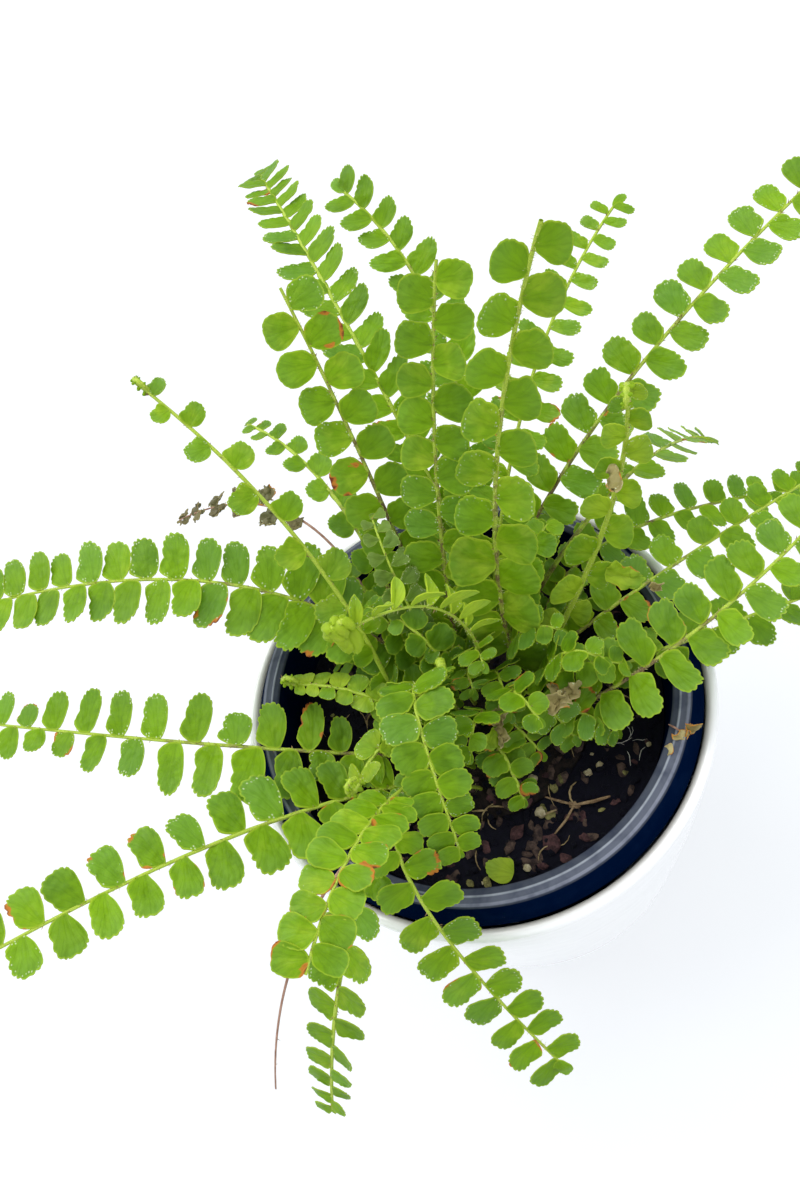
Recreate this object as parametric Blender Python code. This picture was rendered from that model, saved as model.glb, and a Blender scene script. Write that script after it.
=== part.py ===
"""Potted button fern: a round-leaved fern in a black plastic growing pot, inside a white glazed cover pot.

Units are metres, +Z is up, and the origin is the middle of the cover pot's flat underside.
Sizes below are written in millimetres and multiplied by MM. Azimuths are degrees, counter-clockwise from +X.
"""

import math
from dataclasses import dataclass

import bmesh
import bpy
from mathutils import Vector, noise

MM = 0.001
GAP = 0.3                    # clearance between two pieces that rest on or in each other

# Growing pot: thin black plastic with a flat rim and a short skirt that flares over the cover pot's mouth
RIM_TOP = 112.0
RIM_RADIUS = 56.0            # outer edge of the flat top
RIM_WIDTH = 4.4
SKIRT_DROP = 7.2
SKIRT_RADIUS = 59.4          # outside of the skirt at its foot
GROWER_WALL = 1.4
GROWER_BASE_RADIUS = 41.0
DRAIN_COUNT = 5
DRAIN_RADIUS = 4.0
DRAIN_RING_RADIUS = 28.0

# Cover pot: glazed ceramic, its lip 7 mm below the black rim
COVER_TOP = 105.0
COVER_MOUTH_RADIUS = 59.6
COVER_WALL = 3.4
COVER_BASE_RADIUS = 56.5
COVER_FLOOR = 5.0
COVER_ROUNDING = 7.0

# Soil and crown
SOIL_TOP = 96.0
SOIL_RELIEF = 1.4
FALLEN_LEAFLET_AT = (-12.0, -43.0)
FALLEN_LEAFLET_LENGTH = 8.0
TWIG_LINE = ((7.0, -36.5), (11.0, -37.8), (16.0, -37.2), (21.0, -39.5))
TWIG_RADIUS = 0.7
FLAT_PATCH = 13.0            # the soil is level this near to what lies on it
CROWN_RADIUS = 31.0
CROWN_TOP = 99.0
CROWN_EDGE = 96.5
CROWN_BOTTOM = 86.0
SOCKET_FLOOR = 3.0           # solid rootstock below each socket
SOCKET_RADIUS = 2.0

POT_SIDES = 36
SOCKET_SIDES = 5

# Stems and leaflets
STEM_WIDTH = 1.9
TIP_WIDTH = 1.1
STEM_THICKNESS = 1.5
LEAFLET_EDGE_THICKNESS = 0.7
DIHEDRAL = 9.0               # degrees that leaflets rise from the stem
STUB_LENGTH = 2.5
CURL_RADIUS = 2.4
CURL_END_RADIUS = 1.7
CURL_DEGREES = 290
CURL_STEPS = 8
CURVE_SAMPLES = 96


@dataclass
class Frond:
    """One frond: it leaves the crown at root, is drawn towards elbow and ends at tip, all in millimetres."""

    root: tuple
    elbow: tuple
    tip: tuple
    pairs: int
    leaflet: float = 9.5     # length of the longest leaflet
    bare: float = 0.22       # share of the stem below the first leaflet
    taper: float = 0.5       # how much smaller the last leaflets are than the largest
    fill: float = 0.84       # share of the pitch that a leaflet's width takes
    lean: float = 10.0       # degrees that leaflets point forwards
    face: float = None       # azimuth that the blade arches towards, where it isn't the tip's
    pointed: bool = False    # leaflets with one point, not round ones
    ending: str = "leaflet"  # what the tip has: a last leaflet, a blunt stub or a young curl


FRONDS = {
    "frond_back_long": Frond(
        (17, 21), (10, 70, 189), (7, 151, 164), 17, 8.5,
        bare=0.22, taper=0.3, fill=0.62, lean=30, pointed=True),
    "frond_back_left_upright": Frond(
        (-2, 15), (1, 38, 168), (-1, 66, 199), 10, 9.0, bare=0.15, taper=0.1, face=75, ending="stub"),
    "frond_back_arching": Frond(
        (2, 19), (46, 55, 166), (23, 103, 185), 13, 8.5,
        bare=0.26, taper=0.35, fill=0.7, lean=25, pointed=True),
    "frond_back_upright": Frond(
        (0, 9), (10, 23, 171), (29, 40, 212), 11, 9.0, bare=0.15, taper=0.15, face=62, ending="stub"),
    "frond_tall_centre": Frond(
        (13, 1), (17, 17, 168), (43, 17, 232), 9, 9.0, bare=0.15, taper=0.3, face=62, ending="stub"),
    "frond_back_right": Frond((11, 13), (35, 42, 170), (76, 61, 184), 12, 8.5, bare=0.16),
    "frond_right_long": Frond((11, 18), (45, 36, 153), (127, 51, 179), 15, 9.5, bare=0.16, taper=0.3),
    "frond_right_young": Frond(
        (19, 1), (54, 9, 151), (51, 5, 196), 7, 8.0, bare=0.15, face=62, ending="curl"),
    "frond_right_low": Frond((24, 10), (39, 30, 129), (120, 13, 98), 11, 8.0, bare=0.15, fill=0.72),
    "frond_right_middle": Frond((25, 4), (42, -2, 129), (113, 12, 117), 9, 8.5, bare=0.14, fill=0.76),
    "frond_right_front": Frond((5, -14), (52, -27, 133), (93, -11, 149), 12, 10.5, bare=0.1, taper=0.3),
    "frond_right_under": Frond((23, -7), (50, -19, 128), (96, -12, 100), 7, 8.5, bare=0.16),
    "frond_far_right_drooping": Frond(
        (21, 17), (59, 22, 160), (106, 66, 66), 9, 8.0, bare=0.3, fill=0.66, pointed=True),
    "frond_left_young": Frond((-20, 2), (-12, 22, 160), (-40, 71, 184), 6, 7.0, fill=0.56, ending="curl"),
    "frond_back_left_small": Frond(
        (-10, 16), (-3, 51, 151), (-27, 99, 128), 8, 6.5, fill=0.64, lean=15, pointed=True),
    "frond_left_long": Frond((-7, 5), (-24, 46, 152), (-113, 61, 151), 14, 10.0, bare=0.18, taper=0.35),
    "frond_left_middle": Frond(
        (-20, -7), (-62, 5, 126), (-128, 43, 133), 12, 9.0, bare=0.12, fill=0.66, lean=4, pointed=True),
    "frond_left_front": Frond((-21, -14), (-63, -12, 127), (-123, -31, 156), 10, 10.0, bare=0.14, taper=0.2),
    "frond_front_short": Frond((-9, -3), (-11, 5, 168), (-17, -43, 126), 8, 5.8, bare=0.26),
    "frond_front_raised": Frond(
        (-14, -14), (-28, -33, 168), (-52, -61, 155), 6, 9.5, bare=0.48, taper=0.1, ending="stub"),
    "frond_front_left_drooping": Frond((-16, -19), (-40, -41, 162), (-76, -76, 77), 9, 8.0, bare=0.35),
    "frond_front_drooping": Frond((-8, -22), (-47, -20, 165), (-17, -88, 90), 8, 8.0, bare=0.37, taper=0.2),
    "frond_centre_new": Frond(
        (6, 6), (10, -7, 184), (-17, -12, 185), 5, 7.5, bare=0.4, fill=0.7, ending="curl"),
    "frond_left_low_new": Frond((-14, -9), (-17, 4, 124), (-41, 17, 120), 4, 5.5, ending="curl"),
    "frond_front_left_new": Frond((-7, -15), (-18, -6, 139), (-33, -19, 128), 4, 5.5, ending="curl"),
    "frond_low_front": Frond((-1, -14), (2, -16, 121), (1, -33, 109), 4, 6.5),
    "frond_right_inner": Frond((19, 7), (29, 10.3, 108.7), (43, 9.4, 108.7), 4, 4.9, bare=0.45),
    "frond_centre_low": Frond((8, -4), (9, -12, 140), (12, -24, 131), 4, 6.5, bare=0.3),
    "frond_centre_right": Frond((17, -4), (23, -9, 140), (32, -17, 131), 4, 6.5, bare=0.3),
    "frond_centre_back": Frond((0, 0), (-4, 7, 140), (-10, 17, 131), 4, 6.5, bare=0.3),
    "frond_centre_front": Frond((4, -8), (0, -14, 140), (-6, -25, 131), 4, 6.5, bare=0.3),
    "frond_back_left_low": Frond((-8, 24), (-12, 31, 125), (-20, 45, 119), 4, 6.5, bare=0.3),
    "frond_back_low": Frond((-1, 22), (2, 32, 125), (4, 47, 119), 4, 6.5, bare=0.3),
    "frond_dead_back_left": Frond(
        (-16, 13), (-6, 73, 135), (-62, 99, 101), 6, 5.5, bare=0.5, fill=0.6, pointed=True),
    "dry_stem": Frond((-22, -19), (-52, -40, 162), (-91, -65, 70), 0, ending="stub"),
    "crozier": Frond((-4, -7), (-6, -4, 116), (-4, 2, 126), 0, ending="curl"),
}


def clear_scene():
    for old in list(bpy.data.objects):
        bpy.data.objects.remove(old)


def material(name, colour, roughness, metallic=0.0):
    made = bpy.data.materials.new(name)
    made.use_nodes = True
    shader = made.node_tree.nodes["Principled BSDF"]
    shader.inputs["Base Color"].default_value = (*colour, 1.0)
    shader.inputs["Roughness"].default_value = roughness
    shader.inputs["Metallic"].default_value = metallic
    return made


def add_object(name, mesh, finish):
    made = bpy.data.objects.new(name, mesh)
    bpy.context.collection.objects.link(made)
    if finish is not None:
        mesh.materials.append(finish)
    return made


def turned(name, profile, finish, sides=POT_SIDES):
    """A solid of revolution. Its profile is (radius, height) points that start and end on the axis."""
    shape = bmesh.new()
    points = [shape.verts.new((radius * MM, 0.0, height * MM)) for radius, height in profile]
    edges = [shape.edges.new(pair) for pair in zip(points, points[1:])]
    bmesh.ops.spin(shape, geom=points + edges, cent=(0, 0, 0), axis=(0, 0, 1),
                   angle=math.tau, steps=sides, use_merge=True)
    bmesh.ops.remove_doubles(shape, verts=shape.verts, dist=0.01 * MM)
    bmesh.ops.recalc_face_normals(shape, faces=shape.faces)
    mesh = bpy.data.meshes.new(name)
    shape.to_mesh(mesh)
    shape.free()
    mesh.shade_smooth()
    mesh.set_sharp_from_angle(angle=math.radians(35))
    return add_object(name, mesh, finish)


def cut(target, cutter):
    """Cuts one object out of another with a live Boolean, and keeps the cutter out of the part."""
    cutter.hide_render = True
    cutter.display_type = "WIRE"
    boolean = target.modifiers.new("cut", "BOOLEAN")
    boolean.operation = "DIFFERENCE"
    boolean.object = cutter


def pegs(name, places, radius, low, high, sides):
    """Upright round pegs in one object, one at each (x, y) place."""
    shape = bmesh.new()
    for x, y in places:
        made = bmesh.ops.create_cone(shape, cap_ends=True, segments=sides, radius1=radius * MM,
                                     radius2=radius * MM, depth=(high - low) * MM)
        bmesh.ops.translate(shape, verts=made["verts"], vec=Vector((x, y, (low + high) / 2)) * MM)
    mesh = bpy.data.meshes.new(name)
    shape.to_mesh(mesh)
    shape.free()
    return add_object(name, mesh, None)


def soil_radius(height):
    """Radius of the soil at a height: the growing pot's inside, less its facets' depth and the gap."""
    floor = COVER_FLOOR + GAP
    share = (height - floor) / (RIM_TOP - floor)
    inside = GROWER_BASE_RADIUS + (RIM_RADIUS - RIM_WIDTH - GROWER_BASE_RADIUS) * share
    return inside * math.cos(math.pi / POT_SIDES) - GAP


def build_cover_pot():
    """Glazed ceramic: nearly straight sides, a rounded lip and a rounded foot with a flat underside."""
    lip_radius = COVER_MOUTH_RADIUS + COVER_WALL
    half_wall = COVER_WALL / 2
    rounding = [(COVER_BASE_RADIUS - COVER_ROUNDING * (1 - math.sin(a)), COVER_ROUNDING * (1 - math.cos(a)))
                for a in (0.0, math.radians(30), math.radians(60), math.radians(90))]
    inner_base = COVER_BASE_RADIUS - COVER_WALL
    profile = [
        (0, 0),
        *rounding,
        (lip_radius, COVER_TOP - half_wall),
        (lip_radius - 0.3 * half_wall, COVER_TOP - 0.3 * half_wall),
        (lip_radius - half_wall, COVER_TOP),
        (lip_radius - 1.7 * half_wall, COVER_TOP - 0.3 * half_wall),
        (COVER_MOUTH_RADIUS, COVER_TOP - half_wall),
        (inner_base, COVER_FLOOR + 6.0),
        (inner_base - 5.0, COVER_FLOOR),
        (0, COVER_FLOOR),
    ]
    return turned("cover_pot", profile, material("white_glaze", (0.83, 0.84, 0.84), 0.22))


def build_growing_pot():
    """Black plastic: tapered body, drain holes, and a flat rim with a skirt that flares to the mouth."""
    floor = COVER_FLOOR + GAP
    inner_top = RIM_RADIUS - RIM_WIDTH
    under_rim = RIM_TOP - 1.5 * GROWER_WALL
    skirt_low = RIM_TOP - SKIRT_DROP
    profile = [
        (0, floor),
        (GROWER_BASE_RADIUS + GROWER_WALL, floor),
        (inner_top + GROWER_WALL, under_rim),
        (RIM_RADIUS - GROWER_WALL + 0.8, under_rim),
        (SKIRT_RADIUS - GROWER_WALL, skirt_low),
        (SKIRT_RADIUS, skirt_low),
        (RIM_RADIUS + 0.4, RIM_TOP - 0.8),
        (RIM_RADIUS - 0.4, RIM_TOP),
        (inner_top + 0.8, RIM_TOP),
        (inner_top, RIM_TOP - 1.0),
        (GROWER_BASE_RADIUS, floor + GROWER_WALL),
        (0, floor + GROWER_WALL),
    ]
    pot = turned("growing_pot", profile, material("black_plastic", (0.012, 0.014, 0.022), 0.35))
    ring = [(DRAIN_RING_RADIUS * math.cos(a), DRAIN_RING_RADIUS * math.sin(a))
            for a in (math.tau * i / DRAIN_COUNT for i in range(DRAIN_COUNT))]
    cut(pot, pegs("drain_cutter", ring, DRAIN_RADIUS, floor - 2.0, floor + GROWER_WALL + 2.0, 8))
    return pot


def crown_height(x, y):
    """Height of the crown's domed top over the table."""
    share = min(1.0, math.hypot(x, y) / CROWN_RADIUS)
    return CROWN_TOP + (CROWN_EDGE - CROWN_TOP) * share ** 2


def soil_height(x, y):
    """Height of the soil over the table: lumpy, but level under the fallen leaflet and the twig."""
    lying = (FALLEN_LEAFLET_AT, TWIG_LINE[1], TWIG_LINE[2])
    if min(math.dist((x, y), spot) for spot in lying) < FLAT_PATCH:
        return SOIL_TOP
    return SOIL_TOP + SOIL_RELIEF * noise.noise(Vector((x, y, 0.0)) / 9.0)


def build_soil():
    """Potting soil: it fills the growing pot, has a lumpy top, and a shallow round seat for the crown."""
    seat = CROWN_RADIUS + GAP
    low = COVER_FLOOR + GAP + GROWER_WALL + GAP
    rings = (36.0, 42.0, 48.0)
    profile = [
        (0, low),
        (soil_radius(low), low),
        (soil_radius(SOIL_TOP), SOIL_TOP - 0.5),
        *[(radius, SOIL_TOP) for radius in reversed(rings)],
        (seat, SOIL_TOP),
        (seat, CROWN_BOTTOM - GAP),
        (0, CROWN_BOTTOM - GAP),
    ]
    soil = turned("soil", profile, material("dark_soil", (0.03, 0.02, 0.015), 0.95), sides=26)
    for vertex in soil.data.vertices:
        x, y = vertex.co.x / MM, vertex.co.y / MM
        if rings[0] - 1 < math.hypot(x, y) < rings[-1] + 1 and vertex.co.z > (SOIL_TOP - 1) * MM:
            vertex.co.z = soil_height(x, y) * MM
    return soil


def build_fallen_leaflet(finish):
    """A round leaflet that has dropped onto the soil: a flat plate with a scalloped edge."""
    shape = bmesh.new()
    outline = []
    points = 14
    for step in range(points):
        angle = math.tau * step / points
        radius = FALLEN_LEAFLET_LENGTH / 2 * (1.0 if step % 2 else 0.9) * (1 - 0.12 * math.cos(angle))
        place = Vector((radius * math.cos(angle), 0.8 * radius * math.sin(angle), 0.0))
        outline.append(shape.verts.new(place * MM))
    plate = shape.faces.new(outline)
    raised = bmesh.ops.extrude_face_region(shape, geom=[plate])["geom"]
    bmesh.ops.translate(shape, verts=[item for item in raised if isinstance(item, bmesh.types.BMVert)],
                        vec=Vector((0, 0, LEAFLET_EDGE_THICKNESS * MM)))
    bmesh.ops.recalc_face_normals(shape, faces=shape.faces)
    mesh = bpy.data.meshes.new("fallen_leaflet")
    shape.to_mesh(mesh)
    shape.free()
    leaflet = add_object("fallen_leaflet", mesh, finish)
    leaflet.location = Vector((*FALLEN_LEAFLET_AT, SOIL_TOP + GAP)) * MM
    leaflet.rotation_euler.z = math.radians(50)
    return leaflet


def build_twig(finish):
    """A straw-coloured twig that lies on the soil, as a bent tube with closed ends."""
    line = bpy.data.curves.new("dry_twig", "CURVE")
    line.dimensions = "3D"
    line.bevel_depth = TWIG_RADIUS * MM
    line.bevel_resolution = 0
    line.use_fill_caps = True
    spline = line.splines.new("POLY")
    spline.points.add(len(TWIG_LINE) - 1)
    for point, (x, y) in zip(spline.points, TWIG_LINE):
        point.co = (x * MM, y * MM, (SOIL_TOP + GAP + TWIG_RADIUS) * MM, 1.0)
    twig = bpy.data.objects.new("dry_twig", line)
    bpy.context.collection.objects.link(twig)
    line.materials.append(finish)
    return twig


def build_crown(roots):
    """The rootstock that every frond grows from: a low woody cushion with a socket for each stem."""
    profile = [(0, CROWN_BOTTOM), (CROWN_RADIUS, CROWN_BOTTOM)]
    steps = 4
    for step in range(steps + 1):
        radius = CROWN_RADIUS * (1 - step / steps)
        profile.append((radius, crown_height(radius, 0)))
    crown = turned("crown", profile, material("brown_rootstock", (0.11, 0.07, 0.04), 0.9), sides=24)
    cut(crown, pegs("socket_cutter", roots, SOCKET_RADIUS, CROWN_BOTTOM + SOCKET_FLOOR,
                    CROWN_TOP + 4.0, SOCKET_SIDES))
    return crown


class Stem:
    """The stem's line: an upright foot in its socket, an arch and maybe a curl. Distances run along it."""

    def __init__(self, frond):
        x, y = frond.root
        surface = crown_height(x, y)
        start = Vector((x, y, surface + 1.0))
        elbow, tip = Vector(frond.elbow), Vector(frond.tip)
        azimuth = math.atan2(frond.tip[1] - y, frond.tip[0] - x)
        if frond.face is not None:
            azimuth = math.radians(frond.face)
        self.across = Vector((math.sin(azimuth), -math.cos(azimuth), 0.0))
        self.points = [Vector((x, y, CROWN_BOTTOM + SOCKET_FLOOR + GAP))]
        for step in range(CURVE_SAMPLES + 1):
            t = step / CURVE_SAMPLES
            self.points.append((1 - t) ** 2 * start + 2 * t * (1 - t) * elbow + t * t * tip)
        arch_end = len(self.points) - 1
        if frond.ending == "curl":
            self.add_curl()
        self.travelled = [0.0]
        for before, after in zip(self.points, self.points[1:]):
            self.travelled.append(self.travelled[-1] + (after - before).length)
        self.foot_length = self.travelled[1]
        self.arch_length = self.travelled[arch_end]
        self.length = self.travelled[-1]

    def add_curl(self):
        """Rolls the tip up towards the blade's upper side, a little tighter at its end."""
        tip = self.points[-1]
        along = (tip - self.points[-2]).normalized()
        right = (self.across - self.across.dot(along) * along).normalized()
        up = right.cross(along)
        samples = 4 * CURL_STEPS
        for step in range(1, samples + 1):
            angle = math.radians(CURL_DEGREES) * step / samples
            radius = CURL_RADIUS + (CURL_END_RADIUS - CURL_RADIUS) * step / samples
            turn = math.sin(angle) * along - math.cos(angle) * up
            self.points.append(tip + CURL_RADIUS * up + radius * turn)

    def at(self, distance):
        """The point, the direction along the stem, the one to its right and the blade's upward normal."""
        last = len(self.points) - 2
        index = min(last, sum(1 for travelled in self.travelled[1:] if travelled <= distance))
        before, after = self.points[index], self.points[index + 1]
        share = (distance - self.travelled[index]) / (self.travelled[index + 1] - self.travelled[index])
        earlier, later = self.points[max(0, index - 1)], self.points[min(last + 1, index + 2)]
        along = (later - earlier).normalized()
        right = (self.across - self.across.dot(along) * along).normalized()
        return before.lerp(after, share), along, right, right.cross(along)


def leaflet_scale(u, taper):
    """Size of the leaflet at share u of the leafy stretch: small at the base, largest at about a quarter."""
    young = 0.65 + 0.35 * min(1.0, u / 0.25)
    fading = 1.0 - taper * max(0.0, (u - 0.3) / 0.7) ** 1.4
    return young * fading


def leaflet_outline(length, width, pointed):
    """Outer points of a leaflet as (along the stem, away from it), from its near corner to its far one."""
    if pointed:
        return [(-0.46 * width, 0.40 * length), (0.12 * width, length), (0.50 * width, 0.45 * length)]
    return [(-0.50 * width, 0.38 * length), (-0.34 * width, 0.94 * length),
            (0.36 * width, 0.97 * length), (0.50 * width, 0.42 * length)]


def frond_stations(frond, stem):
    """Distances where the stem has a cross row, and the leaflets as (row below it, side, scale, pitch)."""
    leafy_start = stem.foot_length + frond.bare * (stem.arch_length - stem.foot_length)
    leafy_end = stem.arch_length - (STUB_LENGTH if frond.ending == "stub" else 0.0)
    if not frond.pairs:
        leafy_start = leafy_end
    bare_steps = max(2, round((leafy_start - stem.foot_length) / 14))
    distances = [0.0, stem.foot_length]
    for step in range(bare_steps):
        distances.append(stem.foot_length + (leafy_start - stem.foot_length) * (step + 1) / bare_steps)
    scales = [leaflet_scale((pair + 0.5) / frond.pairs, frond.taper) for pair in range(frond.pairs)]
    leaflets = []
    for scale in scales:
        pitch = (leafy_end - leafy_start) * scale / sum(scales)
        for side in (-1, 1):
            leaflets.append((len(distances) - 1, side, scale, pitch))
            distances.append(distances[-1] + 0.5 * pitch)
    if frond.ending == "stub":
        distances.append(stem.arch_length)
    if frond.ending == "curl":
        for step in range(CURL_STEPS):
            distances.append(stem.arch_length + (stem.length - stem.arch_length) * (step + 1) / CURL_STEPS)
    return distances, leaflets


def build_frond(name, frond, finish):
    """One leafy frond: a thin arched sheet, cut to the stem between leaflets, that Solidify thickens."""
    stem = Stem(frond)
    distances, leaflets = frond_stations(frond, stem)
    sheet = bmesh.new()
    weight = sheet.verts.layers.deform.verify()
    rows = []
    for distance in distances:
        point, along, right, up = stem.at(min(distance, stem.length - 0.01))
        half = 0.5 * (STEM_WIDTH + (TIP_WIDTH - STEM_WIDTH) * distance / stem.length)
        rows.append({side: sheet.verts.new((point + side * half * right) * MM) for side in (-1, 1)})
    for lower, upper in zip(rows, rows[1:]):
        sheet.faces.new((lower[-1], lower[1], upper[1], upper[-1]))
    for row in rows:
        for vertex in row.values():
            vertex[weight][0] = 1.0

    lean = math.radians(frond.lean)
    rise = math.radians(DIHEDRAL)
    for index, side, scale, pitch in leaflets:
        near, far = rows[index][side], rows[index + 1][side]
        _, along, right, up = stem.at(0.5 * (distances[index] + distances[index + 1]))
        level = math.cos(lean) * side * right + math.sin(lean) * along
        outward = math.cos(rise) * level + math.sin(rise) * up
        forward = (along - along.dot(outward) * outward).normalized()
        base = (near.co + far.co) / (2 * MM)
        outline = leaflet_outline(frond.leaflet * scale, frond.fill * pitch, frond.pointed)
        outer = [sheet.verts.new((base + a * forward + o * outward) * MM) for a, o in outline]
        corners = [near, *outer, far]
        if side < 0:
            corners.reverse()
        sheet.faces.new(corners)

    if frond.ending == "leaflet":
        left, right_end = rows[-1][-1], rows[-1][1]
        point, along, right, _ = stem.at(stem.length - 0.01)
        size = frond.leaflet * leaflets[-1][2]
        outer = [sheet.verts.new((point + (a * right + o * along) * size) * MM)
                 for a, o in ((-0.33, 0.3), (-0.22, 0.8), (0.22, 0.8), (0.33, 0.3))]
        sheet.faces.new((right_end, *reversed(outer), left))
    bmesh.ops.triangulate(sheet, faces=sheet.faces)
    mesh = bpy.data.meshes.new(name)
    sheet.to_mesh(mesh)
    sheet.free()
    mesh.shade_smooth()
    made = add_object(name, mesh, finish)
    made.vertex_groups.new(name="stem")
    thicken = made.modifiers.new("thickness", "SOLIDIFY")
    thicken.thickness = STEM_THICKNESS * MM
    thicken.offset = 0.0
    thicken.vertex_group = "stem"
    thicken.thickness_vertex_group = LEAFLET_EDGE_THICKNESS / STEM_THICKNESS
    return made


YOUNG = ("frond_right_young", "frond_left_young", "frond_centre_new", "frond_left_low_new",
         "frond_front_left_new", "crozier")
DRY = ("frond_dead_back_left", "dry_stem")


def build():
    clear_scene()
    build_cover_pot()
    build_growing_pot()
    build_soil()
    build_crown([frond.root for frond in FRONDS.values()])
    green = material("leaf_green", (0.13, 0.30, 0.02), 0.5)
    young = material("young_green", (0.30, 0.50, 0.03), 0.5)
    dry = material("dry_brown", (0.20, 0.12, 0.06), 0.8)
    for name, frond in FRONDS.items():
        build_frond(name, frond, young if name in YOUNG else dry if name in DRY else green)
    build_fallen_leaflet(green)
    build_twig(dry)


build()
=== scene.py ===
# %% [markdown]
# # Potted button fern
#
# A button fern in a black plastic growing pot, inside a white glazed cover pot. The packed solids give every
# frond's line and every pot's size. This script keeps those, and gives each piece the form and finish that
# solids are too coarse for: crenate leaflets with veins, scaly stems, glaze, plastic and potting soil.
#
# All lengths are in metres in the end. Sizes are written in millimetres and multiplied by MM.

# %% Load the packed frame
import math
import random
from dataclasses import dataclass

import bmesh
import bpy
from mathutils import Matrix, Vector, noise


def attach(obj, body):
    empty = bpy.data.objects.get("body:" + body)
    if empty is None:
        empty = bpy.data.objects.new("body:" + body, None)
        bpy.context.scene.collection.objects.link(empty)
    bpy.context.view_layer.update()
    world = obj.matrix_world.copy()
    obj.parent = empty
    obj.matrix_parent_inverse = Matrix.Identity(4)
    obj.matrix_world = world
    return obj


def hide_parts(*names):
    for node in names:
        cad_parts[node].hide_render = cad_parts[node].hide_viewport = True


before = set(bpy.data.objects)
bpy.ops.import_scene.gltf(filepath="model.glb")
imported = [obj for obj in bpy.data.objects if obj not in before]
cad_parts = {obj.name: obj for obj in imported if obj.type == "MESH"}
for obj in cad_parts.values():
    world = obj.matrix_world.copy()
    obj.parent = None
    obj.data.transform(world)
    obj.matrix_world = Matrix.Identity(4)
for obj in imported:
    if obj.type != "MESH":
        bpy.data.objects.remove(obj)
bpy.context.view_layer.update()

MM = 0.001
BODY = "root"
NOISE_SEED = 71
noise.seed_set(NOISE_SEED)   # unseeded, the vector noise that crumples dry leaflets differs from run to run
print("nodes in the frame:", len(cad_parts))

# %% [markdown]
# ## Helpers for shader nodes
#
# A material is a small graph. `Graph` wraps one and has a short method for each kind of node that finishes
# need: `add` puts a node in and links or sets its inputs, `mix` and `step` are what every pattern is made of.
# Effects that several finishes share become node groups with named sockets, so each finish can set its own
# scale and amount. Colours are written as three numbers, and an image isn't used anywhere.

# %% Shader helpers
class Graph:
    """A node tree, with a method for each kind of node that is used more than once."""

    def __init__(self, tree):
        self.tree = tree

    def set(self, node, inputs):
        """Links or sets a node's inputs, by name or number. A colour has three numbers."""
        for key, value in inputs.items():
            if isinstance(value, bpy.types.NodeSocket):
                self.tree.links.new(value, node.inputs[key])
            elif node.inputs[key].type == "RGBA":
                node.inputs[key].default_value = (*value, 1.0)
            else:
                node.inputs[key].default_value = value

    def add(self, kind, inputs=None, **settings):
        """Adds a node, and sets its options and inputs."""
        node = self.tree.nodes.new(kind)
        for key, value in settings.items():
            setattr(node, key, value)
        self.set(node, inputs or {})
        return node

    def group(self, tree, inputs):
        """Adds a shared node group, and returns its outputs."""
        return self.add("ShaderNodeGroup", inputs, node_tree=tree).outputs

    def maths(self, operation, first, second=0.0, third=0.0):
        return self.add("ShaderNodeMath", {0: first, 1: second, 2: third}, operation=operation).outputs[0]

    def times(self, first, second):
        return self.maths("MULTIPLY", first, second)

    def mix(self, factor, first, second):
        """first where factor is 0, second where it is 1. Both are colours."""
        return self.add("ShaderNodeMix", {0: factor, 6: first, 7: second}, data_type="RGBA").outputs[2]

    def step(self, value, low, high, out_low=0.0, out_high=1.0):
        """A smooth step: out_low below low, out_high above high."""
        return self.add("ShaderNodeMapRange", {"Value": value, "From Min": low, "From Max": high,
                                               "To Min": out_low, "To Max": out_high},
                        interpolation_type="SMOOTHSTEP").outputs["Result"]

    def fall(self, value, low, high):
        """A smooth step down, from 1 to 0."""
        return self.step(value, low, high, 1.0, 0.0)

    def cloud(self, vector, scale, detail, **more):
        """Soft noise."""
        inputs = {"Vector": vector, "Scale": scale, "Detail": detail, **more}
        return self.add("ShaderNodeTexNoise", inputs).outputs["Fac"]

    def mottle(self, vector, scale, low=0.3, high=0.7, **more):
        """The shared blotchy mask."""
        return self.group(MOTTLE, {"Vector": vector, "Scale": scale, "Low": low, "High": high, **more})[0]

    def bump(self, strength, distance, height, **more):
        inputs = {"Strength": strength, "Distance": distance, "Height": height, **more}
        return self.add("ShaderNodeBump", inputs).outputs["Normal"]

    def place(self):
        """Object coordinates."""
        return self.add("ShaderNodeTexCoord").outputs["Object"]

    def leaf_uv(self):
        return self.add("ShaderNodeUVMap", uv_map="leaf_uv").outputs["UV"]

    def attribute(self, name):
        return self.add("ShaderNodeAttribute", attribute_name=name).outputs["Vector"]

    def split(self, vector):
        """A vector's three numbers."""
        return self.add("ShaderNodeSeparateXYZ", {0: vector}).outputs


def new_group(name, outputs, **inputs):
    """An empty node group with named sockets: its tree, graph, inputs and output node.

    Inputs are given with their defaults. One without a default is a vector.
    """
    tree = bpy.data.node_groups.new(name, "ShaderNodeTree")
    for label, default in inputs.items():
        kind = "NodeSocketVector" if default is None else "NodeSocketFloat"
        socket = tree.interface.new_socket(label, in_out="INPUT", socket_type=kind)
        if default is not None:
            socket.default_value = default
    for label in outputs:
        tree.interface.new_socket(label, in_out="OUTPUT", socket_type="NodeSocketFloat")
    return tree, Graph(tree), tree.nodes.new("NodeGroupInput").outputs, tree.nodes.new("NodeGroupOutput")


def new_material(name):
    """A material, its graph and its Principled shader."""
    made = bpy.data.materials.new(name)
    made.use_nodes = True
    return made, Graph(made.node_tree), made.node_tree.nodes["Principled BSDF"]


print("shader helpers:", len([name for name in vars(Graph) if not name.startswith("_")]))

# %% [markdown]
# ## Camera
#
# The photo looks down into the pot from in front and above, with the pot turned a little in the frame. A
# camera's axes are easiest to give as three directions: its right, its up, and the way it looks. They become
# the columns of its matrix. The lens is a short one, so the nearest leaflets look large, as in the photo.

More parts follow.
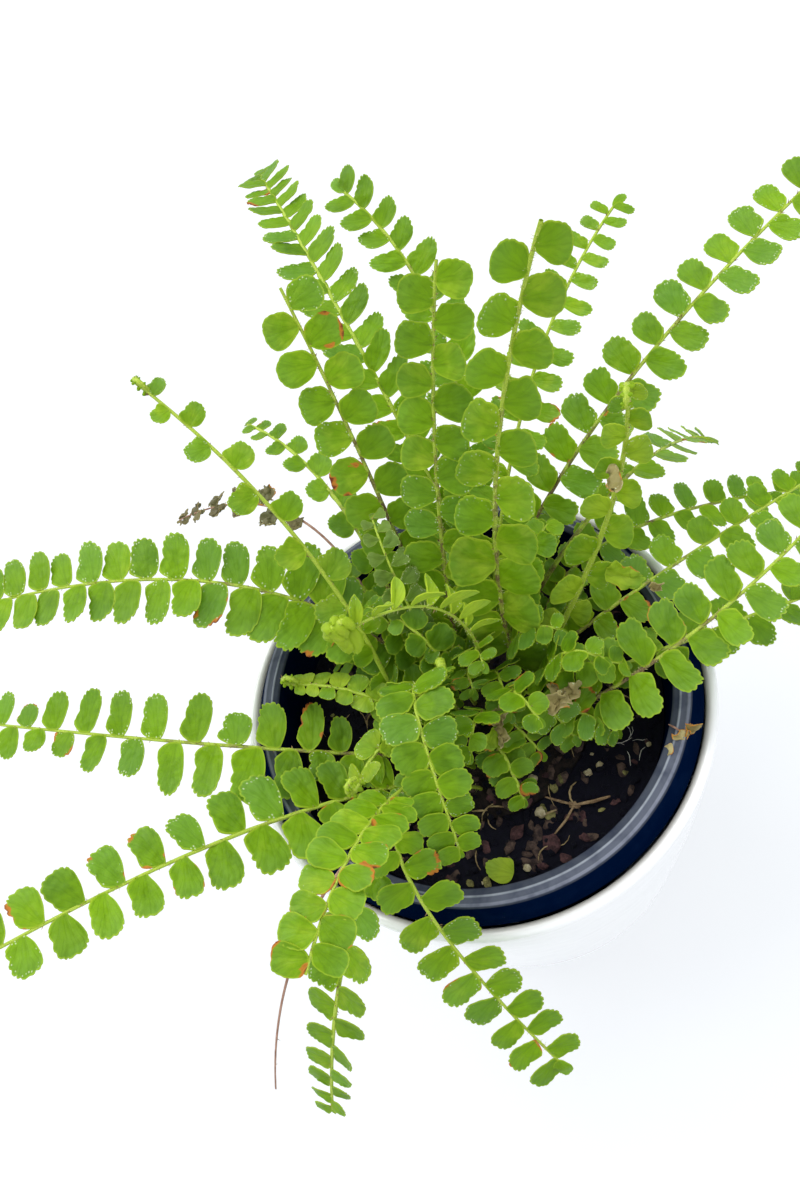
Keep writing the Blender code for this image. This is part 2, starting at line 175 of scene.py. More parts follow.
# %% Camera
CAMERA_AT = Vector((0.0, -106.48, 351.17)) * MM
CAMERA_RIGHT = Vector((0.90912, -0.34859, -0.22801))
CAMERA_UP = Vector((0.41577, 0.79263, 0.44595))

camera_data = bpy.data.cameras.new("camera")
camera_data.lens = 30.0
camera_data.sensor_width = 36.0
camera_data.sensor_fit = "AUTO"
camera_data.clip_start = 0.01
camera = bpy.data.objects.new("camera", camera_data)
bpy.context.scene.collection.objects.link(camera)
turn = Matrix((CAMERA_RIGHT, CAMERA_UP, CAMERA_RIGHT.cross(CAMERA_UP))).transposed()
camera.matrix_world = Matrix.Translation(CAMERA_AT) @ turn.to_4x4()
bpy.context.scene.camera = camera
print("camera height over the table:", round(CAMERA_AT.z, 3), "m")

# %% [markdown]
# ## Light
#
# The photo is bright and soft, with almost no shadow: a white room lights the plant from all around, and
# windows behind and to the left are its brighter side. So the world is a pale gradient, brightest towards the
# windows. A sun with a very wide disc gives the leaflets a little form, and a weaker one from the front lifts
# their shaded sides. Unlike a near lamp, a sun is as strong at the table's far corner as beside the pot. A
# panel overhead lights the rim from above; the plastic has no specular reflection, so the rim's highlights
# are painted into its colour.

# %% Light
ROOM_DIM = 0.66
ROOM_BRIGHT = 1.10
ROOM_WHITE = (0.94, 0.965, 1.0)
TO_WINDOW = (-0.40, 0.62, 0.68)
PLANT_MIDDLE = (0.0, 0.0, 0.1)

world = bpy.data.worlds.new("white_room")
world.use_nodes = True
sky = Graph(world.node_tree)
direction = sky.add("ShaderNodeTexCoord").outputs["Generated"]
facing = sky.add("ShaderNodeVectorMath", {0: direction, 1: TO_WINDOW}, operation="DOT_PRODUCT")
brightness = sky.add("ShaderNodeMapRange", {
    "Value": facing.outputs["Value"], "From Min": -1.0, "From Max": 1.0, "To Min": ROOM_DIM,
    "To Max": ROOM_BRIGHT}).outputs["Result"]
sky.set(sky.tree.nodes["Background"], {"Color": ROOM_WHITE, "Strength": brightness})
bpy.context.scene.world = world
bpy.context.scene.view_settings.view_transform = "Standard"


def hang(name, kind, energy, tint, place, aim, **settings):
    """Hangs a light at place, in metres, turned towards aim."""
    data = bpy.data.lights.new(name, kind)
    data.energy, data.color = energy, tint
    for key, value in settings.items():
        setattr(data, key, value)
    light = bpy.data.objects.new(name, data)
    bpy.context.scene.collection.objects.link(light)
    light.location = place
    light.rotation_euler = (Vector(aim) - Vector(place)).to_track_quat("-Z", "Y").to_euler()


hang("window_light", "SUN", 2.0, (1.0, 0.985, 0.95), (-0.5, 0.6, 1.1), PLANT_MIDDLE, angle=math.radians(50.0))
hang("fill_light", "SUN", 0.45, (0.98, 0.99, 1.0), (0.5, -0.6, 0.9), PLANT_MIDDLE, angle=math.radians(60.0))
hang("panel", "AREA", 1.6, (0.96, 0.98, 1.0), (0.24, 0.24, 1.05), (0.03, -0.03, 0.1), size=0.30)

# %% [markdown]
# ## Two shared effects
#
# `mottle` is a soft blotchy mask from object coordinates, for glaze, plastic, soil, stems and leaflets alike.
# `leaf_veins` draws a leaflet's veins from its own UV map: a fan that starts at the stem and forks on the way
# to the margin, as a fern's do, and a faint midrib. Reading the UV map keeps them on the leaflet as it bends.
# Its third output, `Streak`, is noise drawn out along the same fan.

# %% Shared node groups
MOTTLE, graph, entry, leave = new_group("mottle", ["Mask"], Vector=None, Scale=400.0, Detail=3.0, Low=0.35,
                                        High=0.65)
cloud = graph.cloud(entry["Vector"], entry["Scale"], entry["Detail"], Roughness=0.6)
graph.set(leave, {"Mask": graph.step(cloud, entry["Low"], entry["High"])})

VEINS, graph, entry, leave = new_group("leaf_veins", ["Veins", "Midrib", "Streak"], Leaf=None, Rays=3.2,
                                       Wobble=0.22)
across, outwards, _ = graph.split(entry["Leaf"])
side = graph.maths("SUBTRACT", across, 0.5)
bend = graph.cloud(entry["Leaf"], 3.0, 1.0)
ray = graph.maths("MULTIPLY_ADD", bend, entry["Wobble"],
                  graph.maths("ARCTAN2", side, graph.maths("ADD", outwards, 0.12)))
fan = graph.times(ray, entry["Rays"])
few = graph.maths("PINGPONG", fan, 0.5)
many = graph.maths("PINGPONG", graph.maths("MULTIPLY_ADD", fan, 2.0, 0.25), 0.5)
forked = graph.times(graph.fall(many, 0.04, 0.20), graph.step(outwards, 0.35, 0.65))
midrib = graph.times(graph.fall(graph.maths("ABSOLUTE", side), 0.005, 0.05), graph.fall(outwards, 0.25, 0.85))
drawn_out = {0: graph.times(ray, 11.0), 1: graph.times(outwards, 1.5)}
comb = graph.add("ShaderNodeCombineXYZ", drawn_out).outputs[0]
graph.set(leave, {"Veins": graph.maths("MAXIMUM", graph.fall(few, 0.03, 0.16), forked), "Midrib": midrib,
                  "Streak": graph.cloud(comb, 1.0, 2.0)})
print("node groups:", [group.name for group in bpy.data.node_groups])

# %% [markdown]
# ## Leaflet finish
#
# A button fern's leaflets are thin, a little waxy, and green in many shades: lime when young, deeper where a
# painted shade, drawn at random for each leaflet, darkens them, and bluer and paler on some old leaflets, a
# colour that is partly age and partly a painted sheen. As painted light, they are warmer beside the stem,
# where light would come through, and cooler at the far end, as a painted sheen. The margin is a fine pale
# line with dots of dried salt just inside it on older leaflets, and old margins scorch orange and brown in a
# few short stretches, with streaks that run in along the veins. A coarse bump quilts the sheet between its
# veins.
# Every leaflet's mesh carries two attributes that the material reads: `leaf_tint` is (tone, scorch, shade)
# for the whole leaflet, and `leaf_edge` is (nearness to the margin, 0, the leaflet's own chance number). A
# Translucent shader beside the Principled one lets light through.

# %% Leaflet finish
SALT = (0.80, 0.86, 0.56)
SCORCH_EDGE = (0.62, 0.26, 0.035)


def leaf_material(name, deep, light, lime, old_sheen, glow, char, near, far_sheen, glow_share=0.45):
    """deep, light and lime follow the tone, near and far the distance from the stem. Both paint light: near
    is a warm glow where light would come through, and far a cool painted sheen.

    The bluer colour for old leaflets is partly age and partly a painted sheen, char is for scorched margins,
    and glow is the light that comes through.
    """
    made, graph, shader = new_material(name)
    place, leaf, tint = graph.place(), graph.leaf_uv(), graph.attribute("leaf_tint")
    tone, scorch, shade = graph.split(tint)
    margin, _, chance = graph.split(graph.attribute("leaf_edge"))
    veins, midrib, streak = graph.group(VEINS, {"Leaf": leaf})
    blotch, grain = graph.mottle(place, 240.0), graph.mottle(place, 1500.0)
    outer = graph.split(leaf)[1]

    toned = graph.maths("MULTIPLY_ADD", graph.maths("SUBTRACT", blotch, 0.5), 0.30, tone)
    green = graph.mix(graph.step(toned, 0.0, 0.6), deep, light)
    green = graph.mix(graph.step(toned, 0.55, 1.0), green, lime)
    # Painted sheen: some old leaflets turn bluer and paler, partly from age and partly as a painted sheen.
    old_sheen_mask = graph.times(graph.step(chance, 0.45, 1.0), graph.step(tone, 0.5, 0.9, 0.7, 0.0))
    lines = graph.maths("MAXIMUM", graph.times(veins, 0.12), graph.times(midrib, 0.20))
    # Painted light: warmer near the stem as light coming through, a cooler painted sheen at the far end, and
    # a painted shade that deepens the green.
    for amount, over in ((old_sheen_mask, old_sheen),
                         (graph.times(graph.fall(outer, 0.0, 0.55), 0.30), near),
                         (graph.times(graph.step(outer, 0.35, 1.0), 0.50), far_sheen),
                         (graph.times(shade, 0.6), deep),
                         (graph.times(grain, 0.14), light),
                         (lines, deep),
                         (graph.times(graph.step(margin, 0.90, 0.97), 0.55), lime)):
        green = graph.mix(amount, green, over)

    own_place = graph.add("ShaderNodeVectorMath", {0: leaf, 1: tint}, operation="ADD").outputs[0]
    spots = graph.add("ShaderNodeTexVoronoi", {"Vector": own_place, "Scale": 13.0}, voronoi_dimensions="2D")
    picked = graph.step(graph.split(spots.outputs["Color"])[0], 0.74, 0.80)
    dot = graph.times(graph.fall(spots.outputs["Distance"], 0.18, 0.32), picked)
    band = graph.times(graph.step(margin, 0.74, 0.80), graph.fall(margin, 0.95, 0.98))
    salted = graph.times(graph.times(dot, band), graph.step(chance, 0.2, 0.5))
    green = graph.mix(graph.times(salted, 0.85), green, SALT)

    stretch = graph.mottle(place, 190.0, 0.52, 0.68, Detail=1.0)
    burn = graph.times(stretch, graph.times(scorch, streak))
    level = graph.maths("MULTIPLY_ADD", burn, 0.8, margin)
    burnt = graph.step(level, 0.99, 1.05)
    charred = graph.mix(graph.step(level, 1.12, 1.35), SCORCH_EDGE, char)

    height = graph.maths("SUBTRACT", graph.times(grain, 0.4), graph.maths("MAXIMUM", veins, midrib))
    quilt = graph.bump(0.5, 0.0006, graph.mottle(place, 330.0, 0.25, 0.75, Detail=1.0))
    graph.set(shader, {"Base Color": graph.mix(burnt, green, charred), "Roughness": 0.38,
                       "Specular IOR Level": 0.18, "Normal": graph.bump(0.35, 0.00010, height, Normal=quilt)})

    # The painted shade darkens the light that comes through as well.
    inner = graph.mix(graph.times(shade, 0.7), graph.mix(tone, glow, lime), deep)
    inner = graph.mix(lines, inner, deep)
    through = graph.add("ShaderNodeBsdfTranslucent", {"Color": graph.mix(burnt, inner, charred)}).outputs[0]
    both = graph.add("ShaderNodeMixShader", {0: glow_share, 1: shader.outputs[0], 2: through}).outputs[0]
    graph.set(graph.tree.nodes["Material Output"], {"Surface": both})
    return made


LEAF_GREEN = leaf_material(
    "leaflet_green", deep=(0.082, 0.192, 0.008), light=(0.236, 0.436, 0.009), lime=(0.530, 0.690, 0.045),
    old_sheen=(0.150, 0.350, 0.050), glow=(0.390, 0.600, 0.004), char=(0.24, 0.060, 0.025),
    near=(0.255, 0.450, 0.006), far_sheen=(0.215, 0.420, 0.075))
LEAF_DRY = leaf_material(
    "leaflet_dry", deep=(0.050, 0.045, 0.020), light=(0.17, 0.15, 0.055), lime=(0.34, 0.30, 0.13),
    old_sheen=(0.10, 0.12, 0.05), glow=(0.26, 0.22, 0.06), char=(0.10, 0.05, 0.03),
    near=(0.14, 0.14, 0.050), far_sheen=(0.24, 0.20, 0.10), glow_share=0.2)
LEAF_GREY = leaf_material(
    "leaflet_withered", deep=(0.075, 0.135, 0.012), light=(0.190, 0.315, 0.035), lime=(0.340, 0.470, 0.090),
    old_sheen=(0.130, 0.240, 0.030), glow=(0.280, 0.420, 0.030), char=(0.20, 0.10, 0.05),
    near=(0.190, 0.330, 0.035), far_sheen=(0.210, 0.320, 0.080), glow_share=0.3)
LEAF_TAN = leaf_material(
    "leaflet_tan", deep=(0.19, 0.145, 0.045), light=(0.41, 0.34, 0.13), lime=(0.60, 0.53, 0.26),
    old_sheen=(0.34, 0.32, 0.12), glow=(0.50, 0.42, 0.10), char=(0.20, 0.10, 0.04),
    near=(0.38, 0.31, 0.12), far_sheen=(0.50, 0.43, 0.20), glow_share=0.25)
print("leaflet finishes:", LEAF_GREEN.name, LEAF_DRY.name, LEAF_GREY.name, LEAF_TAN.name)

# %% [markdown]
# ## Stem, hair and scale finishes
#
# Stems are yellow-green near the tip and brown with age towards the foot, with darker streaks along them.
# The attribute `stem_tint` holds how brown the stem is, as the first of its three numbers. Scales are papery
# brown and hairs pale yellow-green. These and all other plain natural finishes are `speckled_material`.

# %% Stem finishes
def stem_material():
    made, graph, shader = new_material("stem_skin")
    brownness = graph.split(graph.attribute("stem_tint"))[0]
    drawn_out = {"Vector": graph.leaf_uv(), "Scale": (9.0, 60.0, 1.0)}
    streak = graph.mottle(graph.add("ShaderNodeMapping", drawn_out).outputs[0], 1.0, 0.35, 0.65)
    fresh = graph.mix(streak, (0.28, 0.42, 0.022), (0.43, 0.55, 0.042))
    aged = graph.mix(streak, (0.075, 0.045, 0.018), (0.20, 0.135, 0.045))
    blotch = graph.maths("SUBTRACT", graph.mottle(graph.place(), 320.0), 0.5)
    ripening = graph.maths("MULTIPLY_ADD", blotch, 0.45, brownness)
    graph.set(shader, {"Base Color": graph.mix(graph.step(ripening, 0.25, 0.75), fresh, aged),
                       "Roughness": 0.5, "Normal": graph.bump(0.6, 0.0001, streak)})
    return made


def speckled_material(name, dark, pale, scale, roughness, depth=0.0001, low=0.35, high=0.65):
    """A plain natural finish: two colours in blotches, with a bump of the same size."""
    made, graph, shader = new_material(name)
    place = graph.place()
    blotch, fine = graph.mottle(place, scale, low, high), graph.mottle(place, 5 * scale)
    share = graph.maths("MULTIPLY_ADD", fine, 0.3, graph.times(blotch, 0.7))
    graph.set(shader, {"Base Color": graph.mix(share, dark, pale), "Roughness": roughness,
                       "Specular IOR Level": 0.25, "Normal": graph.bump(0.7, depth, fine)})
    return made


STEM_SKIN = stem_material()
HAIR_PALE = speckled_material("stem_hairs", (0.44, 0.46, 0.15), (0.66, 0.68, 0.30), 500.0, 0.6)
SCALE_BROWN = speckled_material("stem_scales", (0.16, 0.088, 0.030), (0.44, 0.31, 0.13), 500.0, 0.7)
STEM_DRY = speckled_material("dry_stem_skin", (0.20, 0.10, 0.065), (0.42, 0.26, 0.19), 300.0, 0.75)
print("stem finishes:", STEM_SKIN.name, HAIR_PALE.name, SCALE_BROWN.name, STEM_DRY.name)

# %% [markdown]
# ## Where the fronds run
#
# Each frond is one stem with leaflets in two alternating rows. Its line leaves the crown at `root`, is drawn
# towards `elbow` and ends at `tip`, in millimetres: the same figures that the solids were made from, so the
# fine fronds lie on them. What follows in each row are its looks, where they differ from a usual frond's.

# %% Frond lines
CROWN_RADIUS = 31.0
CROWN_TOP = 99.0
CROWN_EDGE = 96.5
CROWN_BOTTOM = 86.0
SOCKET_FLOOR = 3.0
GAP = 0.3
STUB_LENGTH = 2.5
CURL_RADIUS = 2.4
CURL_END_RADIUS = 1.7
CURL_DEGREES = 290
CURL_STEPS = 8
CURVE_SAMPLES = 96
FOOT_WIDTH = 1.9
TIP_WIDTH = 1.05
DIHEDRAL = 9.0               # degrees that leaflets rise from the stem
FILL_BELOW = 0.28            # fronds barer than this at the foot get no small leaflets there


@dataclass
class Frond:
    """A frond's line and leaflets, as in the solids, and then its looks."""

    root: tuple
    elbow: tuple
    tip: tuple
    pairs: int
    leaflet: float = 9.5     # length of the longest leaflet, in millimetres
    bare: float = 0.22       # share of the stem below the first leaflet
    taper: float = 0.5       # how much smaller the last leaflets are than the largest
    fill: float = 0.84       # share of the pitch that a leaflet's width takes
    lean: float = 10.0       # degrees that leaflets point forwards
    face: float = None       # azimuth that the blade arches towards, where it isn't the tip's
    ending: str = "leaflet"  # what the tip has: a last leaflet, a blunt stub or a young curl
    form: str = "oblong"     # which of the leaflet forms
    tone: float = 0.5        # 0 is deep green, 1 is lime
    brown: float = 0.3       # how brown the stem is
    scorch: float = 0.1      # how often margins are scorched
    wide: float = 1.15       # leaflet width over the solid's
    long: float = 1.0        # leaflet length over the solid's
    more: float = 1.0        # number of leaflets over the solid's, which is coarse where they are crowded
    thick: float = 0.8       # stem thickness over the thickest stems'
    curl_half: float = 0.75  # half the thickness of a curl, in millimetres
    scales: float = 0.5      # scales on each millimetre of stem
    bud: float = 1.0         # size of the folded leaflets on a curl
    crumple: float = 0.0     # how far dry leaflets are crumpled, in millimetres
    hairs: float = 0.0       # fine pale hairs on each millimetre of stem
    uneven: float = 0.08     # how much the leaflets' lengths differ
    base: float = 1.0        # size of the leaflets at the stem's foot over the solid's


FRONDS = {
    "frond_back_long": Frond(
        (17, 21), (10, 70, 189), (7, 151, 164), 17, 8.5, taper=0.3, fill=0.62, lean=30, form="slender",
        tone=0.42, brown=0.2, wide=1.75, long=1.35, more=1.18),
    "frond_back_left_upright": Frond(
        (-2, 15), (1, 38, 168), (-1, 66, 199), 10, 9.0, bare=0.15, taper=0.1, face=75, ending="stub",
        form="round", tone=0.55, brown=0.75, scorch=0.05, wide=1.22, thick=0.7, scales=0.7, hairs=1.5),
    "frond_back_arching": Frond(
        (2, 19), (46, 55, 166), (23, 103, 185), 13, 8.5, bare=0.26, taper=0.35, fill=0.7, lean=25,
        form="slender", tone=0.42, brown=0.6, scorch=0.05, wide=1.35, long=1.2),
    "frond_back_upright": Frond(
        (0, 9), (10, 23, 171), (29, 40, 212), 11, 9.0, bare=0.15, taper=0.15, face=62, ending="stub",
        form="round", tone=0.55, brown=0.55, scorch=0.0, wide=1.22, long=0.92, base=1.3, thick=0.7,
        scales=1.4, hairs=3.0),
    "frond_tall_centre": Frond(
        (13, 1), (17, 17, 168), (43, 17, 232), 9, 9.0, bare=0.15, taper=0.3, face=62, ending="stub",
        form="round", tone=0.58, brown=0.5, scorch=0.0, wide=1.02, long=0.97, base=1.9, thick=0.82,
        scales=0.3, hairs=3.0),
    "frond_back_right": Frond(
        (11, 13), (35, 42, 170), (76, 61, 184), 12, 8.5, bare=0.16, form="fan", scorch=0.03, wide=0.85,
        long=1.1, more=1.42, base=1.3, thick=0.65),
    "frond_right_long": Frond(
        (11, 18), (45, 36, 153), (127, 51, 179), 15, 9.5, bare=0.16, taper=0.3, form="fan", tone=0.45,
        brown=0.6, long=1.12, more=1.07, base=1.3, thick=0.7),
    "frond_right_young": Frond(
        (19, 1), (54, 9, 151), (51, 5, 196), 7, 8.0, bare=0.15, face=62, ending="curl", form="round",
        tone=0.78, brown=0.05, scorch=0.0, wide=0.84, long=0.8, base=1.2, thick=0.9, scales=0.3, hairs=3.0),
    "frond_right_low": Frond(
        (24, 10), (39, 30, 129), (120, 13, 98), 11, 8.0, bare=0.15, fill=0.72, tone=0.4, brown=0.5,
        scorch=0.04, wide=1.3, long=1.1, more=1.4, base=1.3, thick=0.65),
    "frond_right_middle": Frond(
        (25, 4), (42, -2, 129), (113, 12, 117), 9, 8.5, bare=0.14, fill=0.76, tone=0.45, brown=0.4,
        wide=1.1, long=1.02, more=1.12, base=1.3, thick=0.65),
    "frond_right_front": Frond(
        (5, -14), (52, -27, 133), (93, -11, 149), 12, 10.5, bare=0.1, taper=0.3, form="fan", tone=0.4,
        brown=0.6, scorch=0.08, wide=1.2, long=1.12, thick=0.68, hairs=1.5),
    "frond_right_under": Frond(
        (23, -7), (50, -19, 128), (96, -12, 100), 7, 8.5, bare=0.16, tone=0.35, brown=0.4),
    "frond_far_right_drooping": Frond(
        (21, 17), (59, 22, 160), (106, 66, 66), 9, 8.0, bare=0.3, fill=0.66, form="slender", brown=0.4,
        wide=1.7),
    "frond_left_young": Frond(
        (-20, 2), (-12, 22, 160), (-40, 71, 184), 6, 7.0, fill=0.56, ending="curl", tone=0.68, brown=0.05,
        scorch=0.0, wide=0.85, long=1.1, thick=0.75, bud=0.8, scales=0.6),
    "frond_back_left_small": Frond(
        (-10, 16), (-3, 51, 151), (-27, 99, 128), 8, 6.5, fill=0.64, lean=15, form="slender", tone=0.35,
        brown=0.45, wide=1.3),
    "frond_left_long": Frond(
        (-7, 5), (-24, 46, 152), (-113, 61, 151), 14, 10.0, bare=0.18, taper=0.35, tone=0.44, brown=0.45,
        wide=1.35, long=1.3, more=1.2, base=1.7, thick=0.65, hairs=1.0),
    "frond_left_middle": Frond(
        (-20, -7), (-62, 5, 126), (-128, 43, 133), 12, 9.0, bare=0.12, fill=0.66, lean=4, tone=0.42,
        brown=0.4, scorch=0.12, wide=1.3, long=1.3, more=1.08, base=1.3, uneven=0.30, thick=0.65),
    "frond_left_front": Frond(
        (-21, -14), (-63, -12, 127), (-123, -31, 156), 10, 10.0, bare=0.14, taper=0.2, form="fan",
        tone=0.42, brown=0.25, scorch=0.3, wide=1.12, long=1.15, more=1.1, base=1.5, thick=0.68, hairs=1.0),
    "frond_front_short": Frond(
        (-9, -3), (-11, 5, 168), (-17, -43, 126), 8, 5.8, bare=0.26, form="half_round", tone=0.42,
        scorch=0.0, wide=1.6, long=1.62, more=1.4, base=1.25, thick=0.62, hairs=1.5),
    "frond_front_raised": Frond(
        (-14, -14), (-28, -33, 168), (-52, -61, 155), 6, 9.5, bare=0.48, taper=0.1, ending="stub",
        form="round", tone=0.58, brown=0.2, scorch=0.3, wide=1.75, long=0.86, more=1.5, thick=0.65,
        hairs=1.0),
    "frond_front_left_drooping": Frond(
        (-16, -19), (-40, -41, 162), (-76, -76, 77), 9, 8.0, bare=0.35, brown=0.2),
    "frond_front_drooping": Frond(
        (-8, -22), (-47, -20, 165), (-17, -88, 90), 8, 8.0, bare=0.37, taper=0.2, form="fan", brown=0.15,
        scorch=0.15, long=1.18, more=1.15, thick=0.62, hairs=1.0),
    "frond_centre_new": Frond(
        (6, 6), (10, -7, 184), (-17, -12, 185), 5, 7.5, bare=0.4, fill=0.7, lean=-40, ending="curl",
        form="folded", tone=1.0, brown=0.25, scorch=0.0, wide=0.55, long=1.25, thick=0.55, curl_half=1.1,
        bud=2.9, scales=0.4, hairs=1.2),
    "frond_left_low_new": Frond(
        (-14, -9), (-17, 4, 124), (-41, 17, 120), 4, 5.5, ending="curl", form="round", tone=0.85, brown=0.1,
        scorch=0.0, wide=1.5, long=0.8, more=2.0, scales=1.2),
    "frond_front_left_new": Frond(
        (-7, -15), (-18, -6, 139), (-33, -19, 128), 4, 5.5, ending="curl", form="round", tone=0.85,
        brown=0.1, scorch=0.0, wide=1.2, scales=1.2),
    "frond_low_front": Frond((-1, -14), (2, -16, 121), (1, -33, 109), 4, 6.5, tone=0.4),
    "frond_right_inner": Frond(
        (19, 7), (29, 10.3, 108.7), (43, 9.4, 108.7), 4, 4.9, bare=0.45, tone=0.35, long=1.2),
    "frond_centre_low": Frond((8, -4), (9, -12, 140), (12, -24, 131), 4, 6.5, bare=0.3, tone=0.3),
    "frond_centre_right": Frond((17, -4), (23, -9, 140), (32, -17, 131), 4, 6.5, bare=0.3, tone=0.3),
    "frond_centre_back": Frond((0, 0), (-4, 7, 140), (-10, 17, 131), 4, 6.5, bare=0.3, tone=0.3),
    "frond_centre_front": Frond((4, -8), (0, -14, 140), (-6, -25, 131), 4, 6.5, bare=0.3, tone=0.32),
    "frond_back_left_low": Frond((-8, 24), (-12, 31, 125), (-20, 45, 119), 4, 6.5, bare=0.3, tone=0.3),
    "frond_back_low": Frond((-1, 22), (2, 32, 125), (4, 47, 119), 4, 6.5, bare=0.3, tone=0.3),
    "frond_dead_back_left": Frond(
        (-16, 13), (-6, 73, 135), (-62, 99, 101), 6, 5.5, bare=0.5, fill=0.6, tone=0.45, brown=1.0,
        long=1.1, thick=0.5, scales=0.1, crumple=1.3),
    "dry_stem": Frond(
        (-22, -19), (-52, -40, 162), (-91, -65, 70), 0, ending="stub", brown=1.0, thick=0.5, scales=0.1),
    "crozier": Frond(
        (-4, -7), (-6, -4, 116), (-4, 2, 126), 0, ending="curl", tone=0.9, brown=0.1, thick=0.65,
        curl_half=1.45, bud=0.6, scales=1.5, hairs=6.0),
}
print("fronds:", len(FRONDS), "leaflets:", sum(2 * frond.pairs for frond in FRONDS.values()))

# %% [markdown]
# ## A stem's line
#
# The foot stands upright in its socket in the crown. Above it the stem follows a quadratic Bezier curve, and
# a young frond ends in a curl that has not unrolled. Asking the line for a distance gives a point and three
# directions: along the stem, to its right, and out of the frond's upper side.

# %% Stem lines
def crown_height(x, y):
    share = min(1.0, math.hypot(x, y) / CROWN_RADIUS)
    return CROWN_TOP + (CROWN_EDGE - CROWN_TOP) * share ** 2


class Stem:
    """The line of one stem in millimetres. Distances run along it from the foot."""

    def __init__(self, frond):
        x, y = frond.root
        start = Vector((x, y, crown_height(x, y) + 1.0))
        elbow, tip = Vector(frond.elbow), Vector(frond.tip)
        self.thick, self.curl_half = frond.thick, frond.curl_half
        azimuth = math.atan2(frond.tip[1] - y, frond.tip[0] - x)
        if frond.face is not None:
            azimuth = math.radians(frond.face)
        self.across = Vector((math.sin(azimuth), -math.cos(azimuth), 0.0))
        self.points = [Vector((x, y, CROWN_BOTTOM + SOCKET_FLOOR + GAP))]
        for step in range(CURVE_SAMPLES + 1):
            t = step / CURVE_SAMPLES
            self.points.append((1 - t) ** 2 * start + 2 * t * (1 - t) * elbow + t * t * tip)
        arch_end = len(self.points) - 1
        if frond.ending == "curl":
            self.add_curl()
        self.travelled = [0.0]
        for before, after in zip(self.points, self.points[1:]):
            self.travelled.append(self.travelled[-1] + (after - before).length)
        self.foot_length = self.travelled[1]
        self.arch_length = self.travelled[arch_end]
        self.length = self.travelled[-1]

    def add_curl(self):
        tip = self.points[-1]
        along = (tip - self.points[-2]).normalized()
        right = (self.across - self.across.dot(along) * along).normalized()
        up = right.cross(along)
        samples = 4 * CURL_STEPS
        for step in range(1, samples + 1):
            angle = math.radians(CURL_DEGREES) * step / samples
            radius = CURL_RADIUS + (CURL_END_RADIUS - CURL_RADIUS) * step / samples
            spoke = math.sin(angle) * along - math.cos(angle) * up
            self.points.append(tip + CURL_RADIUS * up + radius * spoke)

    def at(self, distance):
        """The point, the direction along the stem, the one to its right and the blade's upward normal."""
        last = len(self.points) - 2
        index = min(last, sum(1 for travelled in self.travelled[1:] if travelled <= distance))
        before, after = self.points[index], self.points[index + 1]
        share = (distance - self.travelled[index]) / (self.travelled[index + 1] - self.travelled[index])
        earlier, later = self.points[max(0, index - 1)], self.points[min(last + 1, index + 2)]
        along = (later - earlier).normalized()
        right = (self.across - self.across.dot(along) * along).normalized()
        return before.lerp(after, share), along, right, right.cross(along)

    def half_width(self, distance):
        return 0.5 * self.thick * (FOOT_WIDTH + (TIP_WIDTH - FOOT_WIDTH) * distance / self.length)


def leaflet_places(frond, stem):
    """Each leaflet as (distance along the stem, side, scale, pitch), in the solids' own places.

    Leaflets that are too small and too crowded for the solids follow below the first ones.
    """
    start = stem.foot_length + frond.bare * (stem.arch_length - stem.foot_length)
    end = stem.arch_length - (STUB_LENGTH if frond.ending == "stub" else 0.0)
    scales = []
    pairs = round(frond.more * frond.pairs)
    for pair in range(pairs):
        share = (pair + 0.5) / pairs
        young = 0.65 + 0.35 * min(1.0, share / 0.25)
        scales.append(young * (1.0 - frond.taper * max(0.0, (share - 0.3) / 0.7) ** 1.4))
    places, distance = [], start
    for scale in scales:
        pitch = (end - start) * scale / sum(scales)
        for side in (-1, 1):
            places.append((distance + 0.25 * pitch, side, scale, pitch))
            distance += 0.5 * pitch
    if scales and frond.bare < FILL_BELOW:
        pitch, scale, distance, side = places[0][3], scales[0], start, 1
        while distance - 0.5 * pitch > stem.foot_length + 5.0:
            distance, scale, side = distance - 0.5 * pitch, 0.96 * scale, -side
            places.append((distance, side, scale, pitch))
    return places


longest = max(FRONDS, key=lambda name: Stem(FRONDS[name]).length)
print("longest stem:", longest, round(Stem(FRONDS[longest]).length), "mm")

# %% [markdown]
# ## One leaflet
#
# A leaflet starts as a flat square grid, whose rings are pulled out to the leaflet's outline: the outermost
# ring becomes the margin, so it carries the teeth, and the rings inside it follow smoothly. The outline is
# lopsided, as in the plant: an ear on the side towards the frond's tip, a straight smooth cut on the other
# side, and rounded teeth over the top and the end only. Then the sheet is bent: a crease at the midrib,
# margins that turn down, a drooping tip and some waviness. Extruding the sheet along its normals gives it
# real thickness. A Solidify would draw long spikes out of the sharp creases of dry leaflets.

# %% Leaflet outline
@dataclass
class LeafForm:
    boxy: float              # below 1, the outline is squarer than an ellipse
    tip_narrow: float        # how much narrower the outline is at its tip
    base_narrow: float
    cut: float               # how much of the side towards the frond's foot is cut away beside the stem
    ear: float               # the lobe beside the stem, on the side towards the frond's tip
    sweep: float             # how far the tip is drawn towards the frond's tip
    teeth: float             # depth of the notches between teeth


